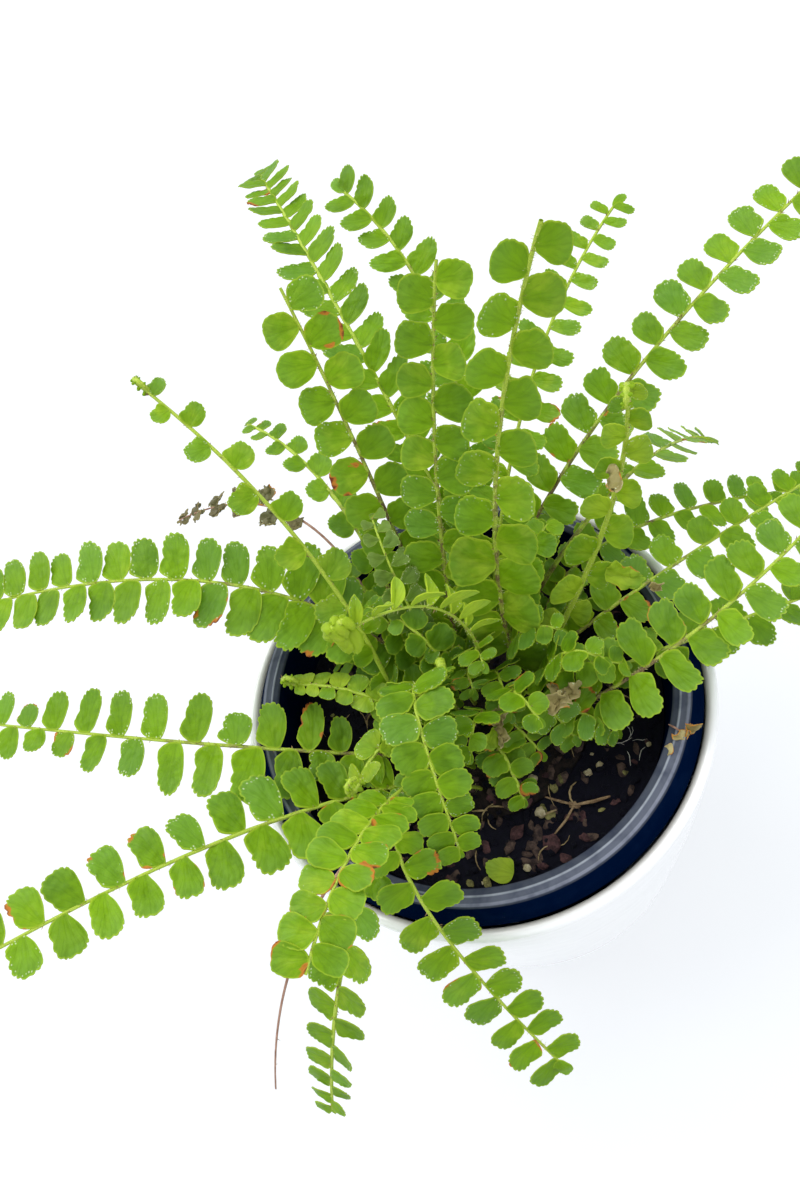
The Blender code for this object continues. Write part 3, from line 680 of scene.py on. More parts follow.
LEAF_FORMS = {
    "round": LeafForm(0.90, 0.0, 0.10, cut=0.55, ear=0.06, sweep=0.05, teeth=0.035),
    "half_round": LeafForm(0.80, 0.08, 0.02, cut=0.50, ear=0.08, sweep=0.05, teeth=0.08),
    "fan": LeafForm(0.82, 0.06, 0.08, cut=0.78, ear=0.09, sweep=0.12, teeth=0.085),
    "oblong": LeafForm(0.78, 0.26, 0.02, cut=0.52, ear=0.12, sweep=0.12, teeth=0.09),
    "slender": LeafForm(0.88, 0.42, 0.03, cut=0.60, ear=0.10, sweep=0.26, teeth=0.10),
    "folded": LeafForm(1.05, 0.45, 0.30, cut=0.1, ear=0.0, sweep=0.0, teeth=0.02),
    "heart": LeafForm(0.94, 0.30, -0.04, cut=0.0, ear=0.08, sweep=0.0, teeth=0.05),
    "wedge": LeafForm(0.76, -0.10, 0.80, cut=0.60, ear=0.0, sweep=0.10, teeth=0.08),
}
LEAF_CELLS = 12              # cells along one side of the grid, so the margin has 48 points
SMALL_CELLS = 8
SMALL_LEAFLET = 5.5          # leaflets up to this length get the smaller grid
LEAF_TEETH = 16              # three points each
LEAF_THICKNESS = 0.26


def signed_power(value, power):
    return math.copysign(abs(value) ** power, value)


def ring_and_turn(x, y):
    """A grid point's ring (0 centre, 1 margin) and its turn (0 at the stem, 0.25 on the forward side)."""
    ring = max(abs(x), abs(y))
    if ring < 1e-6:
        return 0.0, 0.0
    if abs(x) > abs(y):
        turn = (2 if x > 0 else 6) + y / x
    else:
        turn = (4 if y > 0 else 0) - x / y
    return ring, (turn / 8) % 1.0


def outline_point(form, turn, seed):
    """Outline of a leaflet one unit wide and one long: (forwards, outwards), from the stem round."""
    cosine, sine = math.cos(math.tau * turn), math.sin(math.tau * turn)

    def uneven(closeness, shift):
        """Noise that closes on itself round the outline."""
        return noise.noise(Vector((closeness * cosine, closeness * sine, seed + shift)))

    angle = math.tau * (turn + 0.022 * uneven(2.2, 0.0)) - math.pi / 2
    outwards = 0.5 + 0.5 * signed_power(math.sin(angle), form.boxy)
    forwards = 0.5 * signed_power(math.cos(angle), form.boxy)
    forwards *= 1.0 - form.tip_narrow * outwards ** 2 - form.base_narrow * (1.0 - outwards) ** 2
    if forwards > 0.0:
        forwards += form.ear * math.exp(-((outwards - 0.2) / 0.16) ** 2)
    else:
        forwards *= 1.0 - form.cut * (1.0 - outwards) ** 1.2
    notch = 1.0 - abs(math.sin(math.pi * LEAF_TEETH * turn))
    toothed = min(1.0, max(0.0, (outwards - (0.15 if forwards > 0.0 else 0.62)) / 0.25))
    depth = form.teeth * (1.0 + 1.1 * uneven(1.7, 31.0))
    reach = (1.0 - depth * notch * toothed) * (1.0 + 0.09 * uneven(1.4, 57.0))
    return forwards * reach, 0.5 + (outwards - 0.5) * reach


print("outline at the tip:", [round(value, 2) for value in outline_point(LEAF_FORMS["oblong"], 0.5, 0.0)])

# %% Leaflet sheet
@dataclass
class Leaflet:
    base: Vector             # where it leaves the stem, in millimetres
    forward: Vector          # towards the frond's tip
    outward: Vector          # away from the stem
    normal: Vector           # out of its upper side
    length: float
    width: float
    form: LeafForm
    tint: tuple              # tone, scorch, shade
    seed: float
    crease: float = 0.10     # how steeply both halves rise from the midrib
    shingle: float = 0.0     # how steeply it tips, so that neighbours overlap like tiles
    droop: float = 0.9       # how far the tip hangs, in millimetres
    wave: float = 0.6        # height of the waviness, in millimetres
    crumple: float = 0.0     # how far a dry sheet is crumpled, in millimetres


def plant_layers(shape):
    """The attributes that the finishes read, and `place`, a point's own place in its leaflet."""
    new = shape.verts.layers.float_vector.new
    return {"tint": new("leaf_tint"), "edge": new("leaf_edge"), "stem": new("stem_tint"),
            "place": new("leaf_place"), "uv": shape.loops.layers.uv.new("leaf_uv")}


def faces_of(points):
    """The faces that points belong to, each once and in the same order in every run."""
    return list(dict.fromkeys(face for vertex in points for face in vertex.link_faces))


def write_uv(faces, layers):
    """Copies each point's own place to the UV map."""
    for face in faces:
        for loop in face.loops:
            loop[layers["uv"]].uv = loop.vert[layers["place"]].xy


def add_leaflet(shape, layers, leaf):
    """Adds one leaflet as a sheet with no thickness yet."""
    cells = LEAF_CELLS if leaf.length > SMALL_LEAFLET else SMALL_CELLS
    grid = bmesh.ops.create_grid(shape, x_segments=cells, y_segments=cells, size=1.0)["verts"]
    chance = noise.cell(Vector((7.3 * leaf.seed, 0.5, 0.5)))
    for vertex in grid:
        ring, turn = ring_and_turn(vertex.co.x, vertex.co.y)
        forwards, outwards = outline_point(leaf.form, turn, leaf.seed)
        f = ring * forwards * leaf.width
        o = (0.5 + ring * (outwards - 0.5)) * leaf.length
        share = o / leaf.length

        def uneven(closeness, shift):
            return noise.noise(Vector((f * closeness, o * closeness, leaf.seed + shift)))

        sweep = leaf.form.sweep * leaf.width * share ** 2
        curl = 0.5 * ring ** 3 * uneven(0.5, 11.0)
        lift = (leaf.crease * abs(f) - 0.30 * share * f * f / leaf.width
                - leaf.shingle * f - leaf.droop * share ** 2 + leaf.wave * (uneven(0.24, 0.0) + curl) * share)
        lift += 0.16 * uneven(0.85, 23.0)
        crumple = leaf.crumple * noise.noise_vector(Vector((f * 0.7, o * 0.7, leaf.seed)))
        vertex[layers["tint"]] = leaf.tint
        vertex[layers["edge"]] = (ring, 0.0, chance)
        vertex[layers["place"]] = (f / leaf.width + 0.5, share, 0.0)
        vertex.co = (leaf.base + (f + sweep) * leaf.forward + o * leaf.outward + lift * leaf.normal
                     + crumple) * MM
    faces = faces_of(grid)
    write_uv(faces, layers)
    if leaf.forward.cross(leaf.outward).dot(leaf.normal) < 0.0:
        bmesh.ops.reverse_faces(shape, faces=faces)


def thicken(shape, thickness=LEAF_THICKNESS):
    """Turns all the sheets in a bmesh into closed leaflets.

    The extrusion leaves the sheets as the undersides, and its new faces move out along their normals.
    """
    shape.normal_update()
    lower = shape.faces[:]
    normals = {tuple(vertex.co): vertex.normal.copy() for vertex in shape.verts}
    made = bmesh.ops.extrude_face_region(shape, geom=lower, use_keep_orig=True)["geom"]
    for item in made:
        if isinstance(item, bmesh.types.BMVert):
            item.co += normals[tuple(item.co)] * thickness * MM
    bmesh.ops.recalc_face_normals(shape, faces=shape.faces)


print("faces in one leaflet:", 2 * LEAF_CELLS ** 2 + 4 * LEAF_CELLS)

# %% [markdown]
# ## Stems, curls, scales and hairs
#
# A stem is a long grid rolled into a tube round its line: one column of cells for each side of the tube, and
# its seam merged. Its upper side has the shallow groove that fern stems have, and it swells and thins a
# little along its way. Scales and hairs are three-sided spikes: scales are thicker, lean towards the tip and
# stand closest at the foot and on a curl, and hairs stand out all round. On a curled tip, folded leaflets hug
# both sides of the curl: they have not opened yet.

# %% Stem tube
STEM_SIDES = 10
STEM_ROW = 1.7               # length of one row of cells, in millimetres
STEM_END = 0.4               # how far a tube stops short of its line's end
STEM_FLATNESS = 0.85
GROOVE_DEPTH = 0.22
FOOT_SHARE = 0.12            # the share of a stem that is brown at its foot
BUD_PAIRS = 6


def close_tube(shape, grid, sides):
    """Merges the seam of a grid that was rolled up, and caps both its ends."""
    faces = faces_of(grid)
    bmesh.ops.remove_doubles(shape, verts=grid, dist=0.002 * MM)
    faces = [face for face in faces if face.is_valid]
    ends = list(dict.fromkeys(edge for face in faces for edge in face.edges if edge.is_boundary))
    caps = bmesh.ops.holes_fill(shape, edges=ends, sides=sides)["faces"]
    bmesh.ops.recalc_face_normals(shape, faces=faces + caps)
    return faces + caps


def add_stem(shape, layers, stem, brown):
    """Adds a closed tube along the stem's line."""
    rows = max(12, round(stem.length / STEM_ROW))
    grid = bmesh.ops.create_grid(shape, x_segments=STEM_SIDES, y_segments=rows, size=0.5)["verts"]
    lines = {}
    for vertex in grid:
        turn, share = vertex.co.x + 0.5, vertex.co.y + 0.5
        if share not in lines:
            lines[share] = stem.at(share * (stem.length - STEM_END))
        point, along, right, up = lines[share]
        half = stem.half_width(share * stem.length)
        curled = (share * stem.length - stem.arch_length) / max(1.0, stem.length - stem.arch_length)
        if curled > 0.0:
            half += (stem.curl_half - half) * min(1.0, 4.0 * curled) * (1.0 - 0.4 * curled)
        angle = math.tau * turn - math.pi / 2
        groove = 1.0 - GROOVE_DEPTH * math.exp(-((math.degrees(angle) - 90.0) / 26.0) ** 2)
        swell = 1.0 + 0.14 * noise.noise(Vector((share * stem.length * 0.35, turn * 3.0, brown)))
        side = half * swell * (math.cos(angle) * right + STEM_FLATNESS * groove * math.sin(angle) * up)
        ageing = brown * (1.55 - 1.35 * share)
        if share < FOOT_SHARE:
            ageing = max(ageing, 0.75 * (1.0 - share / FOOT_SHARE))
        vertex[layers["stem"]] = (ageing, 0.0, 0.0)
        vertex[layers["place"]] = (turn, share * stem.length * 0.05, 0.0)
        vertex.co = (point + side) * MM
    write_uv(faces_of(grid), layers)
    return close_tube(shape, grid, STEM_SIDES)


@dataclass
class Spikes:
    """Scales or hairs. Lengths and radii are (least, most) in millimetres."""

    lean: tuple              # how far they lean along the stem
    seat: float              # where they start, as a share of the stem's half width
    length: tuple
    radius: tuple
    crowded: bool            # closest at the foot and on a curl


SCALES = Spikes(lean=(0.2, 1.2), seat=0.7, length=(0.4, 1.05), radius=(0.10, 0.20), crowded=True)
HAIRS = Spikes(lean=(-0.3, 1.0), seat=0.8, length=(0.4, 1.0), radius=(0.05, 0.08), crowded=False)


def spike_distance(stem, rng, crowded):
    """Draws how far along a stem the next spike stands."""
    start = stem.foot_length
    if not crowded:
        return rng.uniform(start, stem.length - 1.0)
    distance = start + rng.random() ** 1.25 * (stem.length - 2.5 - start)
    if stem.length > stem.arch_length and rng.random() < 0.12:
        distance = rng.uniform(stem.arch_length - 4.0, stem.length - 1.0)
    return distance


def add_spikes(shape, stem, kind, per_mm, rng):
    """Adds scales or hairs all round a stem."""
    faces = []
    for _ in range(round(per_mm * (stem.length - stem.foot_length))):
        distance = spike_distance(stem, rng, kind.crowded)
        point, along, right, up = stem.at(distance)
        angle = rng.uniform(0.0, math.tau)
        out = math.cos(angle) * right + math.sin(angle) * up
        towards = (along * rng.uniform(*kind.lean) + out).normalized()
        length, radius = rng.uniform(*kind.length), rng.uniform(*kind.radius)
        middle = point + kind.seat * stem.half_width(distance) * out + 0.5 * length * towards
        turned = Vector((0, 0, 1)).rotation_difference(towards).to_matrix().to_4x4()
        faces += faces_of(bmesh.ops.create_cone(
            shape, cap_ends=True, segments=3, radius1=radius * MM, radius2=0.02 * MM, depth=length * MM,
            matrix=Matrix.Translation(middle * MM) @ turned)["verts"])
    return faces


def add_bud(shape, layers, centre, along, out, size, tone, seed):
    """Adds a leaflet that is still folded, as a dented ellipsoid. size is (along, across, out)."""
    made = bmesh.ops.create_uvsphere(shape, u_segments=10, v_segments=8, radius=0.5)["verts"]
    side = along.cross(out).normalized()
    for vertex in made:
        x, y, z = vertex.co
        vertex[layers["tint"]] = (tone, 0.0, 0.0)
        vertex[layers["edge"]] = (0.5 + z, 0.0, 0.0)
        seam = 0.25 * math.exp(-(y / 0.1) ** 2) * (z > 0)
        dent = 1.0 + 0.35 * noise.noise(Vector((x * 3, y * 3, z * 3 + seed))) - seam
        vertex.co = (centre + dent * (size[0] * x * along + size[1] * y * side + size[2] * z * out)) * MM
    faces = faces_of(made)
    bmesh.ops.recalc_face_normals(shape, faces=faces)
    return faces


def add_curl_buds(shape, layers, frond, stem):
    """Folded leaflets along both sides of a curl, smaller towards its end."""
    faces = []
    for step in range(BUD_PAIRS):
        distance = stem.arch_length - 1.0 + (stem.length - stem.arch_length) * (step + 0.2) / BUD_PAIRS
        point, along, right, _ = stem.at(distance)
        size = frond.bud * (1.0 - 0.09 * step)
        hang = Vector((0.0, 0.0, -0.9)) if frond.bud > 1.5 else -0.4 * along
        for side in (-1, 1):
            out = (0.6 * side * right + hang + 0.2 * along).normalized()
            centre = point + (0.5 * stem.curl_half + 0.30 * size) * side * right + 0.5 * size * hang
            faces += add_bud(shape, layers, centre, out, out.cross(along).normalized(),
                             (2.2 * size, 1.2 * size, 1.2 * size), frond.tone, step + 3.0 * side)
    return faces


print("stem sides:", STEM_SIDES)

# %% [markdown]
# ## Whole fronds
#
# One piece stands for each frond's node, with four finishes: leaflets, stem, scales and hairs. The leaflets
# go in first and are thickened together. Each takes a slightly different size, lean, tilt and tone from a
# seeded draw, so no two are alike and every run gives the same plant.

# %% Build a frond
FOLDED_RISE = 48.0           # degrees that leaflets which have not opened rise from the stem


def leaflet_on(frond, stem, place, rng, seed):
    """The leaflet at one place along a stem."""
    distance, side, scale, pitch = place
    point, along, right, up = stem.at(distance)
    folded = frond.form == "folded"
    lean = math.radians(frond.lean + rng.uniform(-8.0, 8.0))
    rise = math.radians((FOLDED_RISE if folded else DIHEDRAL) + rng.uniform(-11.0, 8.0))
    level = math.cos(lean) * side * right + math.sin(lean) * along
    outward = math.cos(rise) * level + math.sin(rise) * up
    forward = (along - along.dot(outward) * outward).normalized()
    normal = outward.cross(forward)
    if normal.dot(up) < 0.0:
        normal.negate()
    half = stem.half_width(distance)
    base = point + side * 0.25 * half * right + 0.15 * half * up
    low = max(0.0, 1.0 - 2.0 * (distance - stem.foot_length) / (stem.arch_length - stem.foot_length))
    larger = 1.0 + (frond.base - 1.0) * low
    width = larger * frond.wide * frond.fill * pitch * rng.uniform(0.92, 1.08)
    spread = rng.uniform(0.98 - frond.uneven, 0.98 + frond.uneven)
    length = larger * frond.long * frond.leaflet * scale * spread + 0.4
    burnt = frond.scorch > rng.random()
    # The tint's third number is a painted shade, drawn at random for each leaflet.
    tint = (frond.tone + rng.uniform(-0.16, 0.16), rng.uniform(0.35, 1.0) if burnt else 0.0,
            rng.uniform(0.0, 0.4))
    crease = 0.75 if folded else rng.uniform(0.03, 0.20)
    return Leaflet(base, forward, outward, normal, length, width, LEAF_FORMS[frond.form], tint, seed,
                   crease=crease, shingle=rng.uniform(0.02, 0.22), droop=rng.uniform(0.0, 1.6) * length / 9.0,
                   crumple=frond.crumple)


def tip_leaflet(frond, stem, seed):
    """The last leaflet, which ends a grown frond."""
    point, along, right, up = stem.at(stem.length - 0.8)
    size = frond.leaflet * (1.0 - frond.taper)
    return Leaflet(point, right, along, up, 0.91 * size, 0.7 * size, LEAF_FORMS["oblong"],
                   (frond.tone, 1.0 if frond.scorch > 0.15 else 0.0, 0.0), seed, crumple=frond.crumple)


def finish_piece(shape, name, materials, groups=()):
    """Writes a bmesh to an object that rides the plant, with one material for each group of faces."""
    for index, faces in enumerate(groups):
        for face in faces:
            if face.is_valid:
                face.material_index = index
    place = shape.verts.layers.float_vector.get("leaf_place")
    if place is not None:
        shape.verts.layers.float_vector.remove(place)
    mesh = bpy.data.meshes.new(name)
    shape.to_mesh(mesh)
    shape.free()
    mesh.shade_smooth()
    mesh.set_sharp_from_angle(angle=math.radians(50))
    for material in materials:
        mesh.materials.append(material)
    piece = bpy.data.objects.new(name, mesh)
    bpy.context.scene.collection.objects.link(piece)
    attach(piece, BODY)
    return piece


def triangles(piece):
    return sum(len(polygon.vertices) - 2 for polygon in piece.data.polygons)


def build_fronds(name, fronds, number, leaf=LEAF_GREEN, skin=STEM_SKIN):
    """Makes one piece from one or several fronds."""
    rng = random.Random(7100 + number)
    shape = bmesh.new()
    layers = plant_layers(shape)
    stems = [Stem(frond) for frond in fronds]
    for index, (frond, stem) in enumerate(zip(fronds, stems)):
        for count, place in enumerate(leaflet_places(frond, stem)):
            seed = 10.0 * number + 0.37 * count + 2.1 * index
            add_leaflet(shape, layers, leaflet_on(frond, stem, place, rng, seed))
        if frond.ending == "leaflet":
            add_leaflet(shape, layers, tip_leaflet(frond, stem, 10.0 * number + index))
    if shape.faces:
        thicken(shape)
    leaf_faces, stem_faces, scale_faces, hair_faces = shape.faces[:], [], [], []
    for frond, stem in zip(fronds, stems):
        stem_faces += add_stem(shape, layers, stem, frond.brown)
        if frond.ending == "curl":
            leaf_faces += add_curl_buds(shape, layers, frond, stem)
        scale_faces += add_spikes(shape, stem, SCALES, frond.scales, rng)
        hair_faces += add_spikes(shape, stem, HAIRS, frond.hairs, rng)
    return finish_piece(shape, name, [leaf, skin, SCALE_BROWN, HAIR_PALE],
                        [leaf_faces, stem_faces, scale_faces, hair_faces])


total = 0
for number, (name, frond) in enumerate(FRONDS.items()):
    dry = name in ("dry_stem", "frond_dead_back_left")
    piece = build_fronds(name + "_fine", [frond], number, *((LEAF_DRY, STEM_DRY) if dry else ()))
    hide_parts(name)
    total += triangles(piece)
print("triangles in the fronds:", total)

# %% [markdown]
# ## Short fronds and withered ones
#
# Between the long fronds, the crown is full of short ones that never reach the light. They stay inside the
# plant, so the solids leave them out and the pot's view needs them: without them the bare rootstock shows.
# One frond behind the middle has withered to grey-green and hangs with narrow, wedge-shaped leaflets. A
# second young frond is only starting to unroll.

# %% Short and withered fronds
def short(root, elbow, tip, leaflet=6.4, tone=0.3):
    """A short inner frond."""
    return Frond(root, elbow, tip, 5, leaflet, bare=0.3, form="half_round", tone=tone, brown=0.35,
                 scorch=0.06, wide=1.25, thick=0.6)


SHORT_FRONT = [
    short((8, 4), (9, -1, 126), (7, -15, 118)),
    short((10, -2), (14, -10, 124), (19, -25, 112), 7.0),
    short((2, -6), (5, -10, 120), (10, -24, 109), 7.0),
    short((-2, -4), (-6, -6, 122), (-12, -18, 117)),
    short((14, -6), (25, -10, 128), (37, -16, 121), 6.8),
    short((12, -9), (20, -17, 122), (29, -27, 110), 7.2),
    short((1, -10), (-1, -18, 118), (2, -31, 108), 6.2),
    short((-12, -12), (-19, -17, 121), (-27, -25, 113)),
    short((-8, -1), (-16, -3, 122), (-26, -5, 113)),
    short((2, 3), (2, 6, 122), (1, -5, 118), 6.8, tone=0.4),
    short((5, 5), (6, 8, 128), (6, -3, 126), 7.0, tone=0.42),
]
SHORT_BACK = [
    short((-6, 1), (-12, 5, 122), (-24, 10, 112)),
    short((12, 6), (18, 4, 132), (27, -3, 125)),
    short((4, 12), (6, 20, 134), (8, 33, 128)),
    short((8, 10), (11, 15, 138), (13, 26, 134), tone=0.42),
    short((14, 8), (23, 12, 142), (35, 19, 138), 7.0, tone=0.42),
    short((-6, 8), (-10, 15, 132), (-15, 26, 126)),
    short((-12, 6), (-19, 13, 124), (-29, 22, 112)),
    short((2, 3), (1, 4, 128), (-7, 12, 127)),
    short((18, 14), (26, 22, 130), (38, 33, 122)),
    short((-14, 12), (-20, 22, 120), (-27, 36, 108)),
    short((6, 18), (4, 30, 126), (-4, 41, 116)),
]
WITHERED = [Frond(
    (-4, 12), (-6, 12, 152), (-4, 33, 152), 8, 5.5, bare=0.38, fill=0.78, form="wedge", tone=0.45, brown=0.55,
    wide=1.3, thick=0.5, scales=0.2, crumple=0.3)]
SECOND_CURL = [Frond(
    (2, 7), (2, 6, 110), (2.6, 5.5, 117), 0, ending="curl", tone=0.7, brown=0.2, thick=0.7, bud=0.7,
    scales=1.5)]

total = 0
for name, fronds, slot, leaf, number in (
        ("short_fronds_front", SHORT_FRONT, "leaf_green", LEAF_GREEN, 61),
        ("short_fronds_back", SHORT_BACK, "leaf_green", LEAF_GREEN, 62),
        ("withered_frond", WITHERED, "dry_brown", LEAF_GREY, 63),
        ("second_crozier", SECOND_CURL, "young_green", LEAF_GREEN, 64)):
    piece = build_fronds(name, fronds, number, leaf)
    total += triangles(piece)
print("triangles in the short fronds:", total)

# %% [markdown]
# ## Dry scraps
#
# A few leaflets have dried, shrunk and folded up, and lie caught between the stems or on the rim. Each is the
# same sheet as a leaflet, crumpled by a noise in all three directions. Two others are only fading.

# %% Dry scraps
# Each scrap is its base and its outward direction, then length, width, seed and tone
DRY_SCRAPS = (
    ((14.4, -17.2, 121.0), (0.8, -0.3, 0.2), 7.5, 6.5, 3.1, 0.55),
    ((19.0, -17.8, 121.5), (1, 0.1, 0.1), 6.0, 5.5, 4.2, 0.5),
    ((17.0, -16.6, 121.0), (0.5, 0.8, 0.4), 5.0, 4.0, 5.3, 0.7),
    ((1.6, -16.4, 119.5), (0.9, 0.4, 0.3), 5.5, 5.5, 6.4, 0.35),
    ((2.1, -17.0, 119.0), (0.2, -0.9, 0.2), 5.0, 4.6, 7.5, 0.7),
    ((42.8, -36.0, 112.3), (1, 0.5, 0.1), 3.2, 1.9, 8.6, 0.4),
    ((44.5, 1.0, 169.8), (0.5, 1.0, -0.35), 6.5, 4.6, 9.7, 0.5),
    ((49.5, -4.5, 130.5), (0.8, -0.5, 0.1), 3.6, 3.0, 9.9, 0.4),
    ((40.2, -35.0, 112.5), (0.9, -0.3, 0.1), 3.4, 2.6, 10.8, 0.75),
    ((43.6, -34.6, 112.5), (0.8, -0.5, 0.3), 3.6, 2.4, 11.9, 0.15),
    ((37.4, -36.2, 112.2), (0.4, -0.9, 0.0), 2.2, 1.8, 13.3, 0.95))
FADING_SCRAPS = (
    ((41.5, 2.6, 133.0), (8.5, -7.5, -2.5), 9.5, 6.5, 12.0, 0.85),
    ((1.4, -16.8, 118.8), (-0.8, -0.7, 0.1), 5.5, 5.0, 13.0, 0.75))
SCRAP_THICKNESS = 0.2


def build_scraps(name, rows, crumple, material):
    """One piece of loose crumpled leaflets."""
    shape = bmesh.new()
    layers = plant_layers(shape)
    for at, direction, length, width, seed, tone in rows:
        outward = Vector(direction).normalized()
        forward = outward.orthogonal().normalized()
        add_leaflet(shape, layers, Leaflet(
            Vector(at), forward, outward, outward.cross(forward), length, width, LEAF_FORMS["oblong"],
            (tone, 0.3, 0.2), seed, crease=0.45, droop=1.0, wave=1.2, crumple=crumple))
    thicken(shape, SCRAP_THICKNESS)
    return finish_piece(shape, name, [material])


tan = build_scraps("dry_scraps", DRY_SCRAPS, 1.6, LEAF_TAN)
fading = build_scraps("fading_leaflets", FADING_SCRAPS, 0.9, LEAF_GREEN)
print("dry scraps:", triangles(tan), "fading leaflets:", triangles(fading))

# %% [markdown]
# ## The two pots
#
# Both pots are turned shapes, so each is half a profile spun round the axis. The solids use the same sizes
# with 36 flat sides. Here the profiles get real roundings, the rim gets the two fine ridges that the mould
# left on it, and a spin of 144 steps makes the rings look round. The black plastic is dusty, its top is
# greyer, partly from dust and partly as a painted sheen, and its ridges have painted highlights. The white
# glaze is glossy with a faint unevenness that only its reflections show, and has a painted shade on its lip
# beside the plastic skirt.

# %% Pot profiles
RIM_TOP = 112.0
RIM_RADIUS = 56.0
RIM_WIDTH = 4.4
SKIRT_DROP = 7.2
SKIRT_RADIUS = 59.4
FIRST_RIDGE = 53.6
EDGE_RIDGE = 55.5
GROWER_WALL = 1.4
GROWER_BASE_RADIUS = 41.0
DRAIN_COUNT = 5
DRAIN_RADIUS = 4.0
DRAIN_RING_RADIUS = 28.0
COVER_TOP = 105.0
COVER_MOUTH_RADIUS = 59.6
COVER_WALL = 3.4
COVER_BASE_RADIUS = 56.5
COVER_FLOOR = 5.0
COVER_ROUNDING = 7.0
SPIN_STEPS = 144


def arc(radius, height, size, start, end, steps=5):
    """Points of a rounding, as (radius, height), from one angle to another in degrees."""
    angles = [math.radians(start + (end - start) * step / steps) for step in range(steps + 1)]
    return [(radius + size * math.cos(angle), height + size * math.sin(angle)) for angle in angles]


def ridge(radius, width, height, top):
    """A low round ridge on a flat top, from outside inwards."""
    return [(radius + 0.5 * width, top), (radius + 0.2 * width, top + height),
            (radius - 0.2 * width, top + height), (radius - 0.5 * width, top)]


grower_floor = COVER_FLOOR + GAP
inner_top = RIM_RADIUS - RIM_WIDTH
under_rim = RIM_TOP - 1.5 * GROWER_WALL
skirt_low = RIM_TOP - SKIRT_DROP
skirt_edge = 0.5 * GROWER_WALL - 0.05
GROWER_PROFILE = [
    (0, grower_floor),
    *arc(GROWER_BASE_RADIUS + GROWER_WALL - 1.2, grower_floor + 1.2, 1.2, -90, -5),
    (inner_top + GROWER_WALL, under_rim),
    (RIM_RADIUS - GROWER_WALL + 0.8, under_rim),
    (SKIRT_RADIUS - GROWER_WALL, skirt_low + 2.0 * skirt_edge),
    *arc(SKIRT_RADIUS - 0.5 * GROWER_WALL, skirt_low + skirt_edge, skirt_edge, -180, 0, 6),
    (SKIRT_RADIUS - 1.4, skirt_low + 3.4),
    (RIM_RADIUS + 0.5, RIM_TOP - 0.8),
    *arc(RIM_RADIUS - 0.1, RIM_TOP - 0.45, 0.45, 25, 90, 4),
    *ridge(EDGE_RIDGE, 0.6, 0.14, RIM_TOP),
    *ridge(FIRST_RIDGE, 0.5, 0.12, RIM_TOP),
    *arc(inner_top + 0.8, RIM_TOP - 0.8, 0.8, 90, 180),
    *arc(GROWER_BASE_RADIUS - 1.0, grower_floor + GROWER_WALL + 1.0, 1.0, 0, -90),
    (0, grower_floor + GROWER_WALL),
]
lip_radius = COVER_MOUTH_RADIUS + COVER_WALL
half_wall = COVER_WALL / 2
inner_base = COVER_BASE_RADIUS - COVER_WALL
COVER_PROFILE = [
    (0, 0),
    *arc(COVER_BASE_RADIUS - COVER_ROUNDING, COVER_ROUNDING, COVER_ROUNDING, -90, 0, 8),
    (lip_radius - 2.2, 0.6 * COVER_TOP),
    *arc(lip_radius - half_wall, COVER_TOP - half_wall, half_wall, 0, 180, 12),
    (inner_base, COVER_FLOOR + 6.0),
    *arc(inner_base - 5.0, COVER_FLOOR + 5.0, 5.0, 0, -90),
    (0, COVER_FLOOR),
]
print("profile points:", len(GROWER_PROFILE), len(COVER_PROFILE))


# %% Turned pieces
def spun(profile, steps=SPIN_STEPS):
    """A bmesh of a solid of revolution round the z axis, from (radius, height) points."""
    shape = bmesh.new()
    points = [shape.verts.new((radius * MM, 0.0, height * MM)) for radius, height in profile]
    edges = [shape.edges.new(pair) for pair in zip(points, points[1:])]
    bmesh.ops.spin(shape, geom=points + edges, cent=(0, 0, 0), axis=(0, 0, 1), angle=math.tau,
                   steps=steps, use_merge=True)
    bmesh.ops.remove_doubles(shape, verts=shape.verts, dist=0.005 * MM)
    bmesh.ops.recalc_face_normals(shape, faces=shape.faces)
    return shape


def drill(shape, places, radius, low, high):
    """Cuts round holes through a bmesh with a Boolean, and returns the new bmesh."""
    def held(source, label):
        mesh = bpy.data.meshes.new(label)
        source.to_mesh(mesh)
        source.free()
        made = bpy.data.objects.new(label, mesh)
        bpy.context.scene.collection.objects.link(made)
        return made

    pegs = bmesh.new()
    for x, y in places:
        made = bmesh.ops.create_cone(pegs, cap_ends=True, segments=24, radius1=radius * MM,
                                     radius2=radius * MM, depth=(high - low) * MM)["verts"]
        bmesh.ops.translate(pegs, verts=made, vec=Vector((x, y, (low + high) / 2)) * MM)
    body, cutter = held(shape, "drilled"), held(pegs, "pegs")
    boolean = body.modifiers.new("holes", "BOOLEAN")
    boolean.operation = "DIFFERENCE"
    boolean.object = cutter
    bpy.context.view_layer.update()
    result = bmesh.new()
    result.from_object(body, bpy.context.evaluated_depsgraph_get())
    for item in (body, cutter):
        bpy.data.objects.remove(item)
    return result


print("steps in a spin:", SPIN_STEPS)


# %% Pot finishes
def around(graph, place):
    """The distance from the pots' axis, and the height."""
    x, y, height = graph.split(place)
    flat = graph.add("ShaderNodeCombineXYZ", {0: x, 1: y}).outputs[0]
    return graph.add("ShaderNodeVectorMath", {0: flat}, operation="LENGTH").outputs["Value"], height


def ring_band(graph, radius, inner, outer):
    """A soft ring between two radii in millimetres."""
    return graph.times(graph.step(radius, (inner - 0.2) * MM, (inner + 0.1) * MM),
                       graph.fall(radius, (outer - 0.1) * MM, (outer + 0.2) * MM))


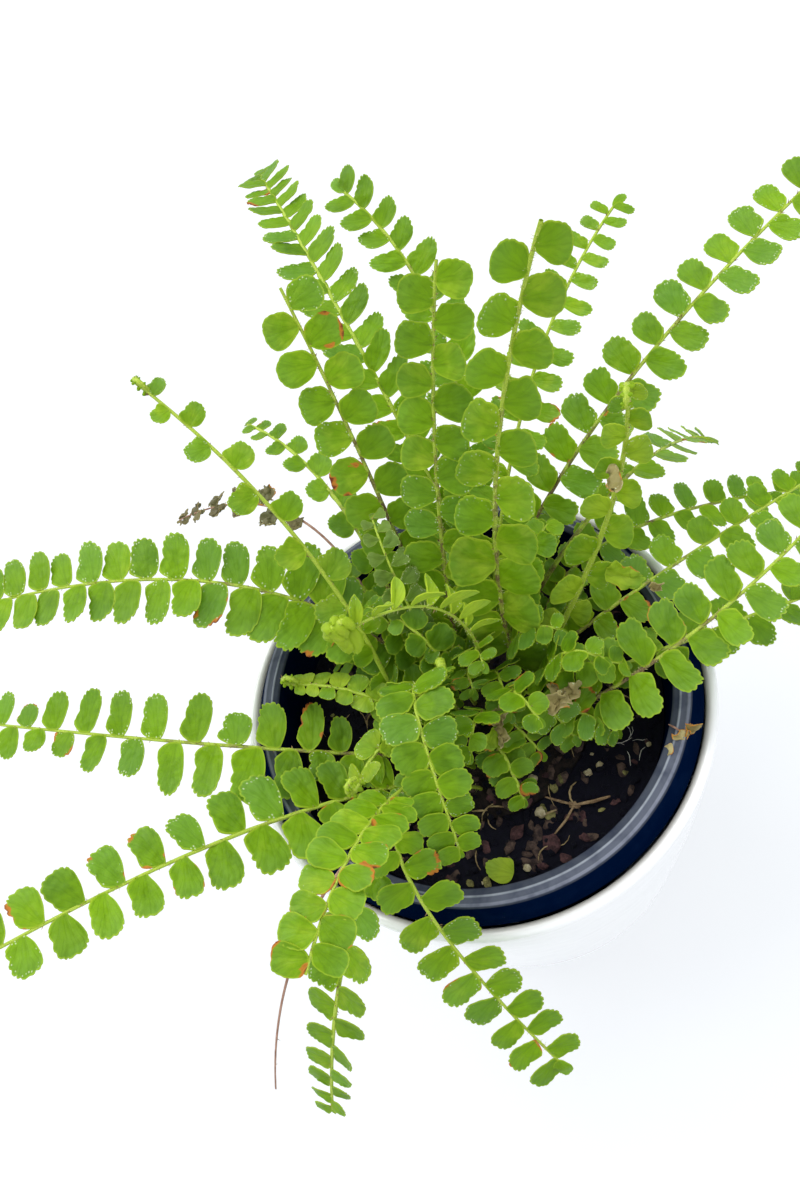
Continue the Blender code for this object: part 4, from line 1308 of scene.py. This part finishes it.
def glaze_material():
    """White, with a painted beige shade on the lip beside the plastic skirt's foot."""
    made, graph, shader = new_material("white_glaze_fine")
    place = graph.place()
    cloudy, pinholes = graph.mottle(place, 30.0), graph.mottle(place, 900.0, 0.70, 0.78)
    radius, height = around(graph, place)
    # Painted shade: the lip darkens to beige beside the skirt's foot, where the skirt shades it.
    painted_lip_shade = graph.times(graph.fall(radius, SKIRT_RADIUS * MM, (SKIRT_RADIUS + 3.0) * MM),
                         graph.step(height, (COVER_TOP - 6.0) * MM, (COVER_TOP - 1.5) * MM))
    white = graph.mix(cloudy, (0.89, 0.90, 0.91), (0.92, 0.925, 0.93))
    white = graph.mix(graph.times(painted_lip_shade, 0.85), white, (0.42, 0.40, 0.34))
    white = graph.mix(graph.times(pinholes, 0.12), white, (0.55, 0.53, 0.50))
    graph.set(shader, {"Base Color": white, "Roughness": 0.16, "Coat Weight": 0.4, "Coat Roughness": 0.05,
                       "Normal": graph.bump(0.25, 0.0006, cloudy)})
    return made


def plastic_material():
    """Blue-black; its top is greyer, partly dust and partly painted sheen, with painted highlights on its
    ridges.
    """
    made, graph, shader = new_material("black_plastic_fine")
    place = graph.place()
    dust, specks = graph.mottle(place, 170.0, 0.42, 0.75), graph.mottle(place, 1200.0, 0.70, 0.76)
    radius, height = around(graph, place)
    black = graph.mix(dust, (0.0003, 0.0045, 0.0230), (0.0012, 0.0065, 0.0280))
    # Painted light: the top is greyer, partly from dust and partly as a painted sheen, and its flat band and
    # two ridges get painted highlights.
    top_dust_and_sheen = (0.052, 0.060, 0.080)
    for inner, outer, rim_highlight in ((FIRST_RIDGE + 0.3, RIM_RADIUS, (0.095, 0.106, 0.138)),
                                 (FIRST_RIDGE - 0.2, FIRST_RIDGE + 0.2, (0.255, 0.280, 0.320)),
                                 (EDGE_RIDGE - 0.2, EDGE_RIDGE + 0.4, (0.180, 0.195, 0.245))):
        top_dust_and_sheen = graph.mix(ring_band(graph, radius, inner, outer), top_dust_and_sheen, rim_highlight)
    top_dust_and_sheen = graph.mix(graph.times(dust, 0.45), top_dust_and_sheen, black)
    # Only the top takes that colour, as painted sheen with some dust.
    skin = graph.mix(graph.step(height, (RIM_TOP - 0.8) * MM, (RIM_TOP - 0.2) * MM), black, top_dust_and_sheen)
    skin = graph.mix(graph.times(specks, 0.18), skin, (0.10, 0.09, 0.08))
    graph.set(shader, {"Base Color": skin, "Specular IOR Level": 0.0,
                       "Roughness": graph.step(dust, 0.0, 1.0, 0.24, 0.36),
                       "Normal": graph.bump(0.25, 0.00008, graph.mottle(place, 2600.0))})
    return made


cover = finish_piece(spun(COVER_PROFILE), "cover_pot_fine", [glaze_material()])
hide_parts("cover_pot")

ring = [math.tau * index / DRAIN_COUNT for index in range(DRAIN_COUNT)]
drains = [(DRAIN_RING_RADIUS * math.cos(angle), DRAIN_RING_RADIUS * math.sin(angle)) for angle in ring]
drilled = drill(spun(GROWER_PROFILE), drains, DRAIN_RADIUS, grower_floor - 2.0, grower_floor + 4.0)
grower = finish_piece(drilled, "growing_pot_fine", [plastic_material()])
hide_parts("growing_pot")
print("pots:", len(cover.data.polygons), "and", len(grower.data.polygons), "faces")

# %% [markdown]
# ## Soil and crown
#
# The soil's top is relief, not a texture: a spun disc with close rings whose points are raised by three sizes
# of noise. The large lumps are the solid's own. The crown in its middle is the woody rootstock, and it gets
# the same treatment with a fibrous finish. Both are dark, because moist peat reflects only a few per cent.

# %% Soil and crown
SOIL_TOP = 96.0
SOIL_RELIEF = 1.4
SOIL_RINGS = 22
CROWN_RINGS = 20
FALLEN_LEAFLET_AT = (-12.0, -43.0)
TWIG_CENTRE = (12.2, -35.8)
LEVEL_AT = (FALLEN_LEAFLET_AT, (11.0, -37.8), (16.0, -37.2))


def soil_radius(height):
    share = (height - grower_floor) / (RIM_TOP - grower_floor)
    inside = GROWER_BASE_RADIUS + (RIM_RADIUS - RIM_WIDTH - GROWER_BASE_RADIUS) * share
    return inside - GAP


def soil_height(x, y):
    """Height of the soil's top in millimetres: the solid's lumps, level under what lies on it, and crumbs."""
    near = min(math.dist((x, y), spot) for spot in LEVEL_AT)
    lumps = SOIL_RELIEF * noise.noise(Vector((x, y, 0.0)) / 9.0) * min(1.0, max(0.0, (near - 9.0) / 5.0))
    crumbs = 0.45 * noise.noise(Vector((x, y, 5.0)) / 2.6) + 0.25 * noise.noise(Vector((x, y, 9.0)) / 1.1)
    return SOIL_TOP + lumps + crumbs - 0.15


def build_soil():
    seat = CROWN_RADIUS + GAP
    low = grower_floor + GROWER_WALL + GAP
    outer = soil_radius(SOIL_TOP)
    rings = [seat + (outer - seat) * step / SOIL_RINGS for step in range(SOIL_RINGS + 1)]
    profile = [(0, low), (soil_radius(low), low), (outer, SOIL_TOP - 1.0)]
    profile += [(radius, SOIL_TOP) for radius in reversed(rings)]
    profile += [(seat, CROWN_BOTTOM - GAP), (0, CROWN_BOTTOM - GAP)]
    shape = spun(profile, 180)
    for vertex in shape.verts:
        if vertex.co.z > (SOIL_TOP - 0.5) * MM:
            vertex.co.z = soil_height(vertex.co.x / MM, vertex.co.y / MM) * MM
    return shape


def build_crown():
    radii = [CROWN_RADIUS * (1 - step / CROWN_RINGS) for step in range(CROWN_RINGS + 1)]
    profile = [(0, CROWN_BOTTOM), (CROWN_RADIUS, CROWN_BOTTOM)]
    profile += [(radius, crown_height(radius, 0)) for radius in radii]
    shape = spun(profile, 120)
    for vertex in shape.verts:
        if vertex.co.z > (CROWN_EDGE - 0.5) * MM:
            x, y = vertex.co.x / MM, vertex.co.y / MM
            along_x, along_y = Vector((x / 5.0, y / 1.3, 2.0)), Vector((x / 1.2, y / 4.0, 7.0))
            relief = noise.noise(along_x) + noise.noise(along_y)
            vertex.co.z += (0.55 * relief - 0.2) * MM
    return shape


SOIL_DARK = speckled_material("potting_soil", (0.0010, 0.0014, 0.0075), (0.0050, 0.0042, 0.0160), 700.0, 0.75,
                              depth=0.0008, low=0.42, high=0.75)
ROOT_BROWN = speckled_material("rootstock", (0.004, 0.0035, 0.005), (0.030, 0.020, 0.015), 700.0, 0.75,
                               depth=0.0006)
soil = finish_piece(build_soil(), "soil_fine", [SOIL_DARK])
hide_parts("soil")
crown = finish_piece(build_crown(), "crown_fine", [ROOT_BROWN])
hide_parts("crown")
print("soil faces:", len(soil.data.polygons), "crown faces:", len(crown.data.polygons))

# %% [markdown]
# ## What lies on the soil
#
# Potting mix is a mixture: dark crumbs, reddish and brown bark chips, straw-coloured fibres, pale grains,
# bits of old leaflets and a few white roots. Each kind is one piece made of many lumps or strands. A lump is
# an icosphere that is stretched, flattened and dented, then set down on the soil: the ones that stand out in
# the photo at their own places, and the others at seeded ones.

# %% Lumps and strands
def ground(x, y):
    """Height of the soil or the crown at a place."""
    return crown_height(x, y) if math.hypot(x, y) < CROWN_RADIUS else soil_height(x, y)


def spot(rng, inner, outer):
    """A random place on the ring between two radii, even over its area."""
    radius = math.sqrt(rng.uniform(inner ** 2, outer ** 2))
    angle = rng.uniform(0.0, math.tau)
    return radius * math.cos(angle), radius * math.sin(angle)


def add_lump(shape, x, y, size, rng, detail=2, sunk=0.25):
    """Adds a dented lump of (length, width, height) that lies on the ground at (x, y)."""
    made = bmesh.ops.create_icosphere(shape, subdivisions=detail, radius=0.5)["verts"]
    seed = rng.uniform(0.0, 90.0)
    turn = (Matrix.Rotation(rng.uniform(0.0, math.tau), 3, "Z")
            @ Matrix.Rotation(rng.uniform(-0.35, 0.35), 3, "X")
            @ Matrix.Rotation(rng.uniform(-0.35, 0.35), 3, "Y"))
    centre = Vector((x, y, ground(x, y) + (0.5 - sunk) * size[2]))
    for vertex in made:
        dent = 1.0 + 0.45 * noise.noise(vertex.co * 3.2 + Vector((seed, 0, 0)))
        stretched = Vector((vertex.co.x * size[0], vertex.co.y * size[1], vertex.co.z * size[2])) * dent
        vertex.co = (centre + turn @ stretched) * MM


def add_strand(shape, points, radius, sides=5):
    """Adds a thin closed strand through points in millimetres, tapered to both ends."""
    rows = 3 * (len(points) - 1)
    grid = bmesh.ops.create_grid(shape, x_segments=sides, y_segments=rows, size=0.5)["verts"]
    for vertex in grid:
        turn, share = vertex.co.x + 0.5, vertex.co.y + 0.5
        where = min(share * (len(points) - 1), len(points) - 1.001)
        index = int(where)
        before, after = Vector(points[index]), Vector(points[index + 1])
        along = (after - before).normalized()
        right = along.orthogonal().normalized()
        thick = radius * (0.35 + 0.65 * math.sin(math.pi * min(1.0, max(0.0, 0.08 + 0.84 * share))))
        angle = math.tau * turn
        side = thick * (math.cos(angle) * right + math.sin(angle) * along.cross(right))
        vertex.co = (before.lerp(after, where - index) + side) * MM
    close_tube(shape, grid, sides)


def litter(name, material, make):
    """A piece of many lumps or strands that lie on the soil. make fills its bmesh."""
    shape = bmesh.new()
    make(shape)
    piece = finish_piece(shape, name, [material])
    print(name, "faces:", len(piece.data.polygons))
    return piece


print("ground in the middle:", round(ground(0.0, 0.0), 1), "mm")


# %% Potting mix
SOIL_EDGE = soil_radius(SOIL_TOP) - 1.5
CHIP_RED = speckled_material("bark_red", (0.026, 0.012, 0.014), (0.125, 0.058, 0.058), 500.0, 0.75, 0.0004)
CHIP_BROWN = speckled_material("bark_brown", (0.020, 0.013, 0.014), (0.125, 0.082, 0.062), 500.0, 0.8, 0.0004)
STRAW = speckled_material("straw", (0.22, 0.15, 0.065), (0.50, 0.38, 0.19), 600.0, 0.7, 0.0002)
TWIG_SKIN = speckled_material("twig_skin", (0.15, 0.090, 0.045), (0.40, 0.28, 0.15), 600.0, 0.7, 0.0002)
ROOT_WHITE = speckled_material("root_hairs", (0.52, 0.50, 0.42), (0.78, 0.76, 0.68), 600.0, 0.6, 0.0001)
LEAF_BITS = speckled_material("old_leaf_bits", (0.060, 0.058, 0.018), (0.30, 0.28, 0.095), 600.0, 0.75,
                              0.0002)
GRAIN = speckled_material("pale_grain", (0.30, 0.24, 0.12), (0.56, 0.50, 0.32), 700.0, 0.8, 0.0002)


def scatter(seed, count, sizes, ring, form, placed=(), placed_form=None, detail=2, sunk=0.25):
    """Gives a function that fills a bmesh with lumps: the placed ones, then count random ones.

    A placed one is (x, y, size), and form gives a lump's length, width and height from its size.
    """
    def make(shape):
        rng = random.Random(seed)
        for x, y, size in placed:
            add_lump(shape, x, y, (placed_form or form)(size, rng), rng, detail, sunk)
        for _ in range(count):
            size = rng.uniform(*sizes)
            x, y = spot(rng, *ring)
            add_lump(shape, x, y, form(size, rng), rng, detail, sunk)
    return make


def fibres(shape):
    rng = random.Random(14)
    for _ in range(60):
        x, y = spot(rng, 28.0, SOIL_EDGE - 5.0)
        angle, bend, step = rng.uniform(0, math.tau), rng.uniform(-0.5, 0.5), rng.uniform(0.9, 2.0)
        points = []
        for index in range(5):
            points.append((x, y, ground(x, y) + 0.35 + 0.3 * math.sin(index)))
            x, y = x + step * math.cos(angle), y + step * math.sin(angle)
            angle += bend
            if math.hypot(x, y) > SOIL_EDGE:
                break
        if len(points) > 2:
            add_strand(shape, points, rng.uniform(0.12, 0.3))


def root_hairs(shape):
    """A few white roots that surface at the front right, where the soil has sunk."""
    rng = random.Random(17)
    for _ in range(7):
        x, y = 33.0 + rng.uniform(-2.5, 2.5), -28.0 + rng.uniform(-2.5, 2.5)
        angle = rng.uniform(0, math.tau)
        points = []
        for index in range(4):
            points.append((x, y, ground(x, y) + 0.4 + 0.3 * math.sin(1.7 * index)))
            x, y = x + 1.3 * math.cos(angle), y + 1.3 * math.sin(angle)
            angle += rng.uniform(-0.7, 0.7)
        add_strand(shape, points, rng.uniform(0.07, 0.12))


def rim_strands(shape):
    """Dry stalks that lie across the rim at the front right."""
    add_strand(shape, [(40.6, -31.6, 112.5), (41.6, -33.3, 112.9), (42.6, -35.0, 112.5)], 0.28, 6)
    add_strand(shape, [(42.6, -34.6, 112.6), (43.8, -35.4, 113.1), (44.8, -35.2, 112.8)], 0.22, 6)


litter("soil_crumbs", SOIL_DARK, scatter(
    11, 1100, (0.7, 1.9), (6.0, SOIL_EDGE),
    lambda size, rng: (size * rng.uniform(1.0, 1.5), size, size * 0.8), detail=1))
litter("bark_chips_red", CHIP_RED, scatter(
    12, 64, (1.8, 4.0), (26.0, SOIL_EDGE - 1.0), lambda size, rng: (size, 0.6 * size, 0.24 * size),
    ((1.3, -29.4, 5.0), (2.8, -42.0, 6.0), (-4.0, -36.0, 4.5)), lambda size, rng: (size, 0.7 * size, 1.6)))
litter("bark_chips_brown", CHIP_BROWN, scatter(
    13, 190, (1.8, 5.2), (14.0, SOIL_EDGE - 1.5), lambda size, rng: (size, 0.5 * size, 0.2 * size)))
litter("soil_fibres", STRAW, fibres)
litter("pale_grains", GRAIN, scatter(
    15, 26, (0.7, 1.4), (30.0, SOIL_EDGE), lambda size, rng: (size * 1.2, size, size * 0.8),
    ((22.6, -28.8, 1.7), (19.1, -29.5, 1.8), (5.4, -25.5, 2.4), (3.6, -33.9, 2.6), (-5.3, -45.4, 2.0),
     (-2.0, -24.5, 1.3)), sunk=0.1))
litter("old_leaf_bits", LEAF_BITS, scatter(
    18, 24, (1.2, 2.4), (24.0, SOIL_EDGE - 1.0), lambda size, rng: (size, 0.6 * size, 0.5),
    ((4.2, -33.5, 3.4), (5.6, -35.6, 3.0), (2.0, -26.4, 3.6), (5.0, -27.6, 3.0), (9.5, -29.5, 3.4),
     (12.0, -28.2, 2.8), (-8.6, -42.0, 3.0), (-16.0, -44.6, 3.2), (-20.0, -43.0, 2.6)),
    lambda size, rng: (size, 0.62 * size, 0.7), sunk=0.0))
litter("root_hairs", ROOT_WHITE, root_hairs)
litter("rim_strands", STEM_DRY, rim_strands)

# %% [markdown]
# ## Twig and fallen leaflet
#
# Two small things lie on the soil in front. The twig is a straw-coloured star of three dry arms, and the
# leaflet has dropped from a frond: it is still green, so it takes the leaflets' own finish.

# %% Twig and fallen leaflet
TWIG_HEIGHT = SOIL_TOP + 0.9
FALLEN_HEADING = math.radians(50.0)


def twig_star(shape):
    centre = (*TWIG_CENTRE, TWIG_HEIGHT)
    for x, y, raised, radius in ((6.4, -30.9, 0.2, 0.36), (21.4, -37.7, 0.6, 0.5), (4.6, -40.5, 0.1, 0.36)):
        end = (x, y, TWIG_HEIGHT + raised)
        middle = [0.5 * (a + b) for a, b in zip(centre, end)]
        add_strand(shape, [centre, (middle[0] + 0.3, middle[1] - 0.4, middle[2] + 0.3), end], radius, 7)
    rng = random.Random(16)
    for _ in range(4):
        x, y = centre[0] + rng.uniform(-1, 1), centre[1] + rng.uniform(-1, 1)
        add_lump(shape, x, y, (2.2, 1.4, 1.0), rng, sunk=0.0)


twig = litter("dry_twig_fine", TWIG_SKIN, twig_star)
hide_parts("dry_twig")

shape = bmesh.new()
layers = plant_layers(shape)
forward = Vector((math.cos(FALLEN_HEADING), math.sin(FALLEN_HEADING), 0.0))
outward = Vector((-math.sin(FALLEN_HEADING), math.cos(FALLEN_HEADING), 0.0))
lying_at = Vector((*FALLEN_LEAFLET_AT, SOIL_TOP + 0.75)) - 4.0 * outward
add_leaflet(shape, layers, Leaflet(
    lying_at, forward, outward, Vector((0, 0, 1)), 7.6, 6.8, LEAF_FORMS["heart"], (0.92, 0.0, 0.0), 3.0,
    droop=-0.6))
thicken(shape)
fallen = finish_piece(shape, "fallen_leaflet_fine", [LEAF_GREEN])
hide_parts("fallen_leaflet")
print("on the soil:", twig.name, fallen.name)

# %% [markdown]
# ## Table
#
# The pot stands on a plain white table. It is part of the stage, not of the object. It glows a little, as a
# table does in a photo that is exposed for the plant.

# %% Table
shape = bmesh.new()
bmesh.ops.create_grid(shape, x_segments=1, y_segments=1, size=3.0)
mesh = bpy.data.meshes.new("table")
shape.to_mesh(mesh)
shape.free()
table = bpy.data.objects.new("table", mesh)
bpy.context.scene.collection.objects.link(table)
made, graph, shader = new_material("table_white")
cloudy = graph.mottle(graph.place(), 6.0)
graph.set(shader, {"Base Color": graph.mix(cloudy, (0.23, 0.24, 0.25), (0.26, 0.265, 0.27)), "Roughness": 0.7,
                   "Emission Color": ROOM_WHITE, "Emission Strength": 0.67})
mesh.materials.append(made)
print("table:", table.name)
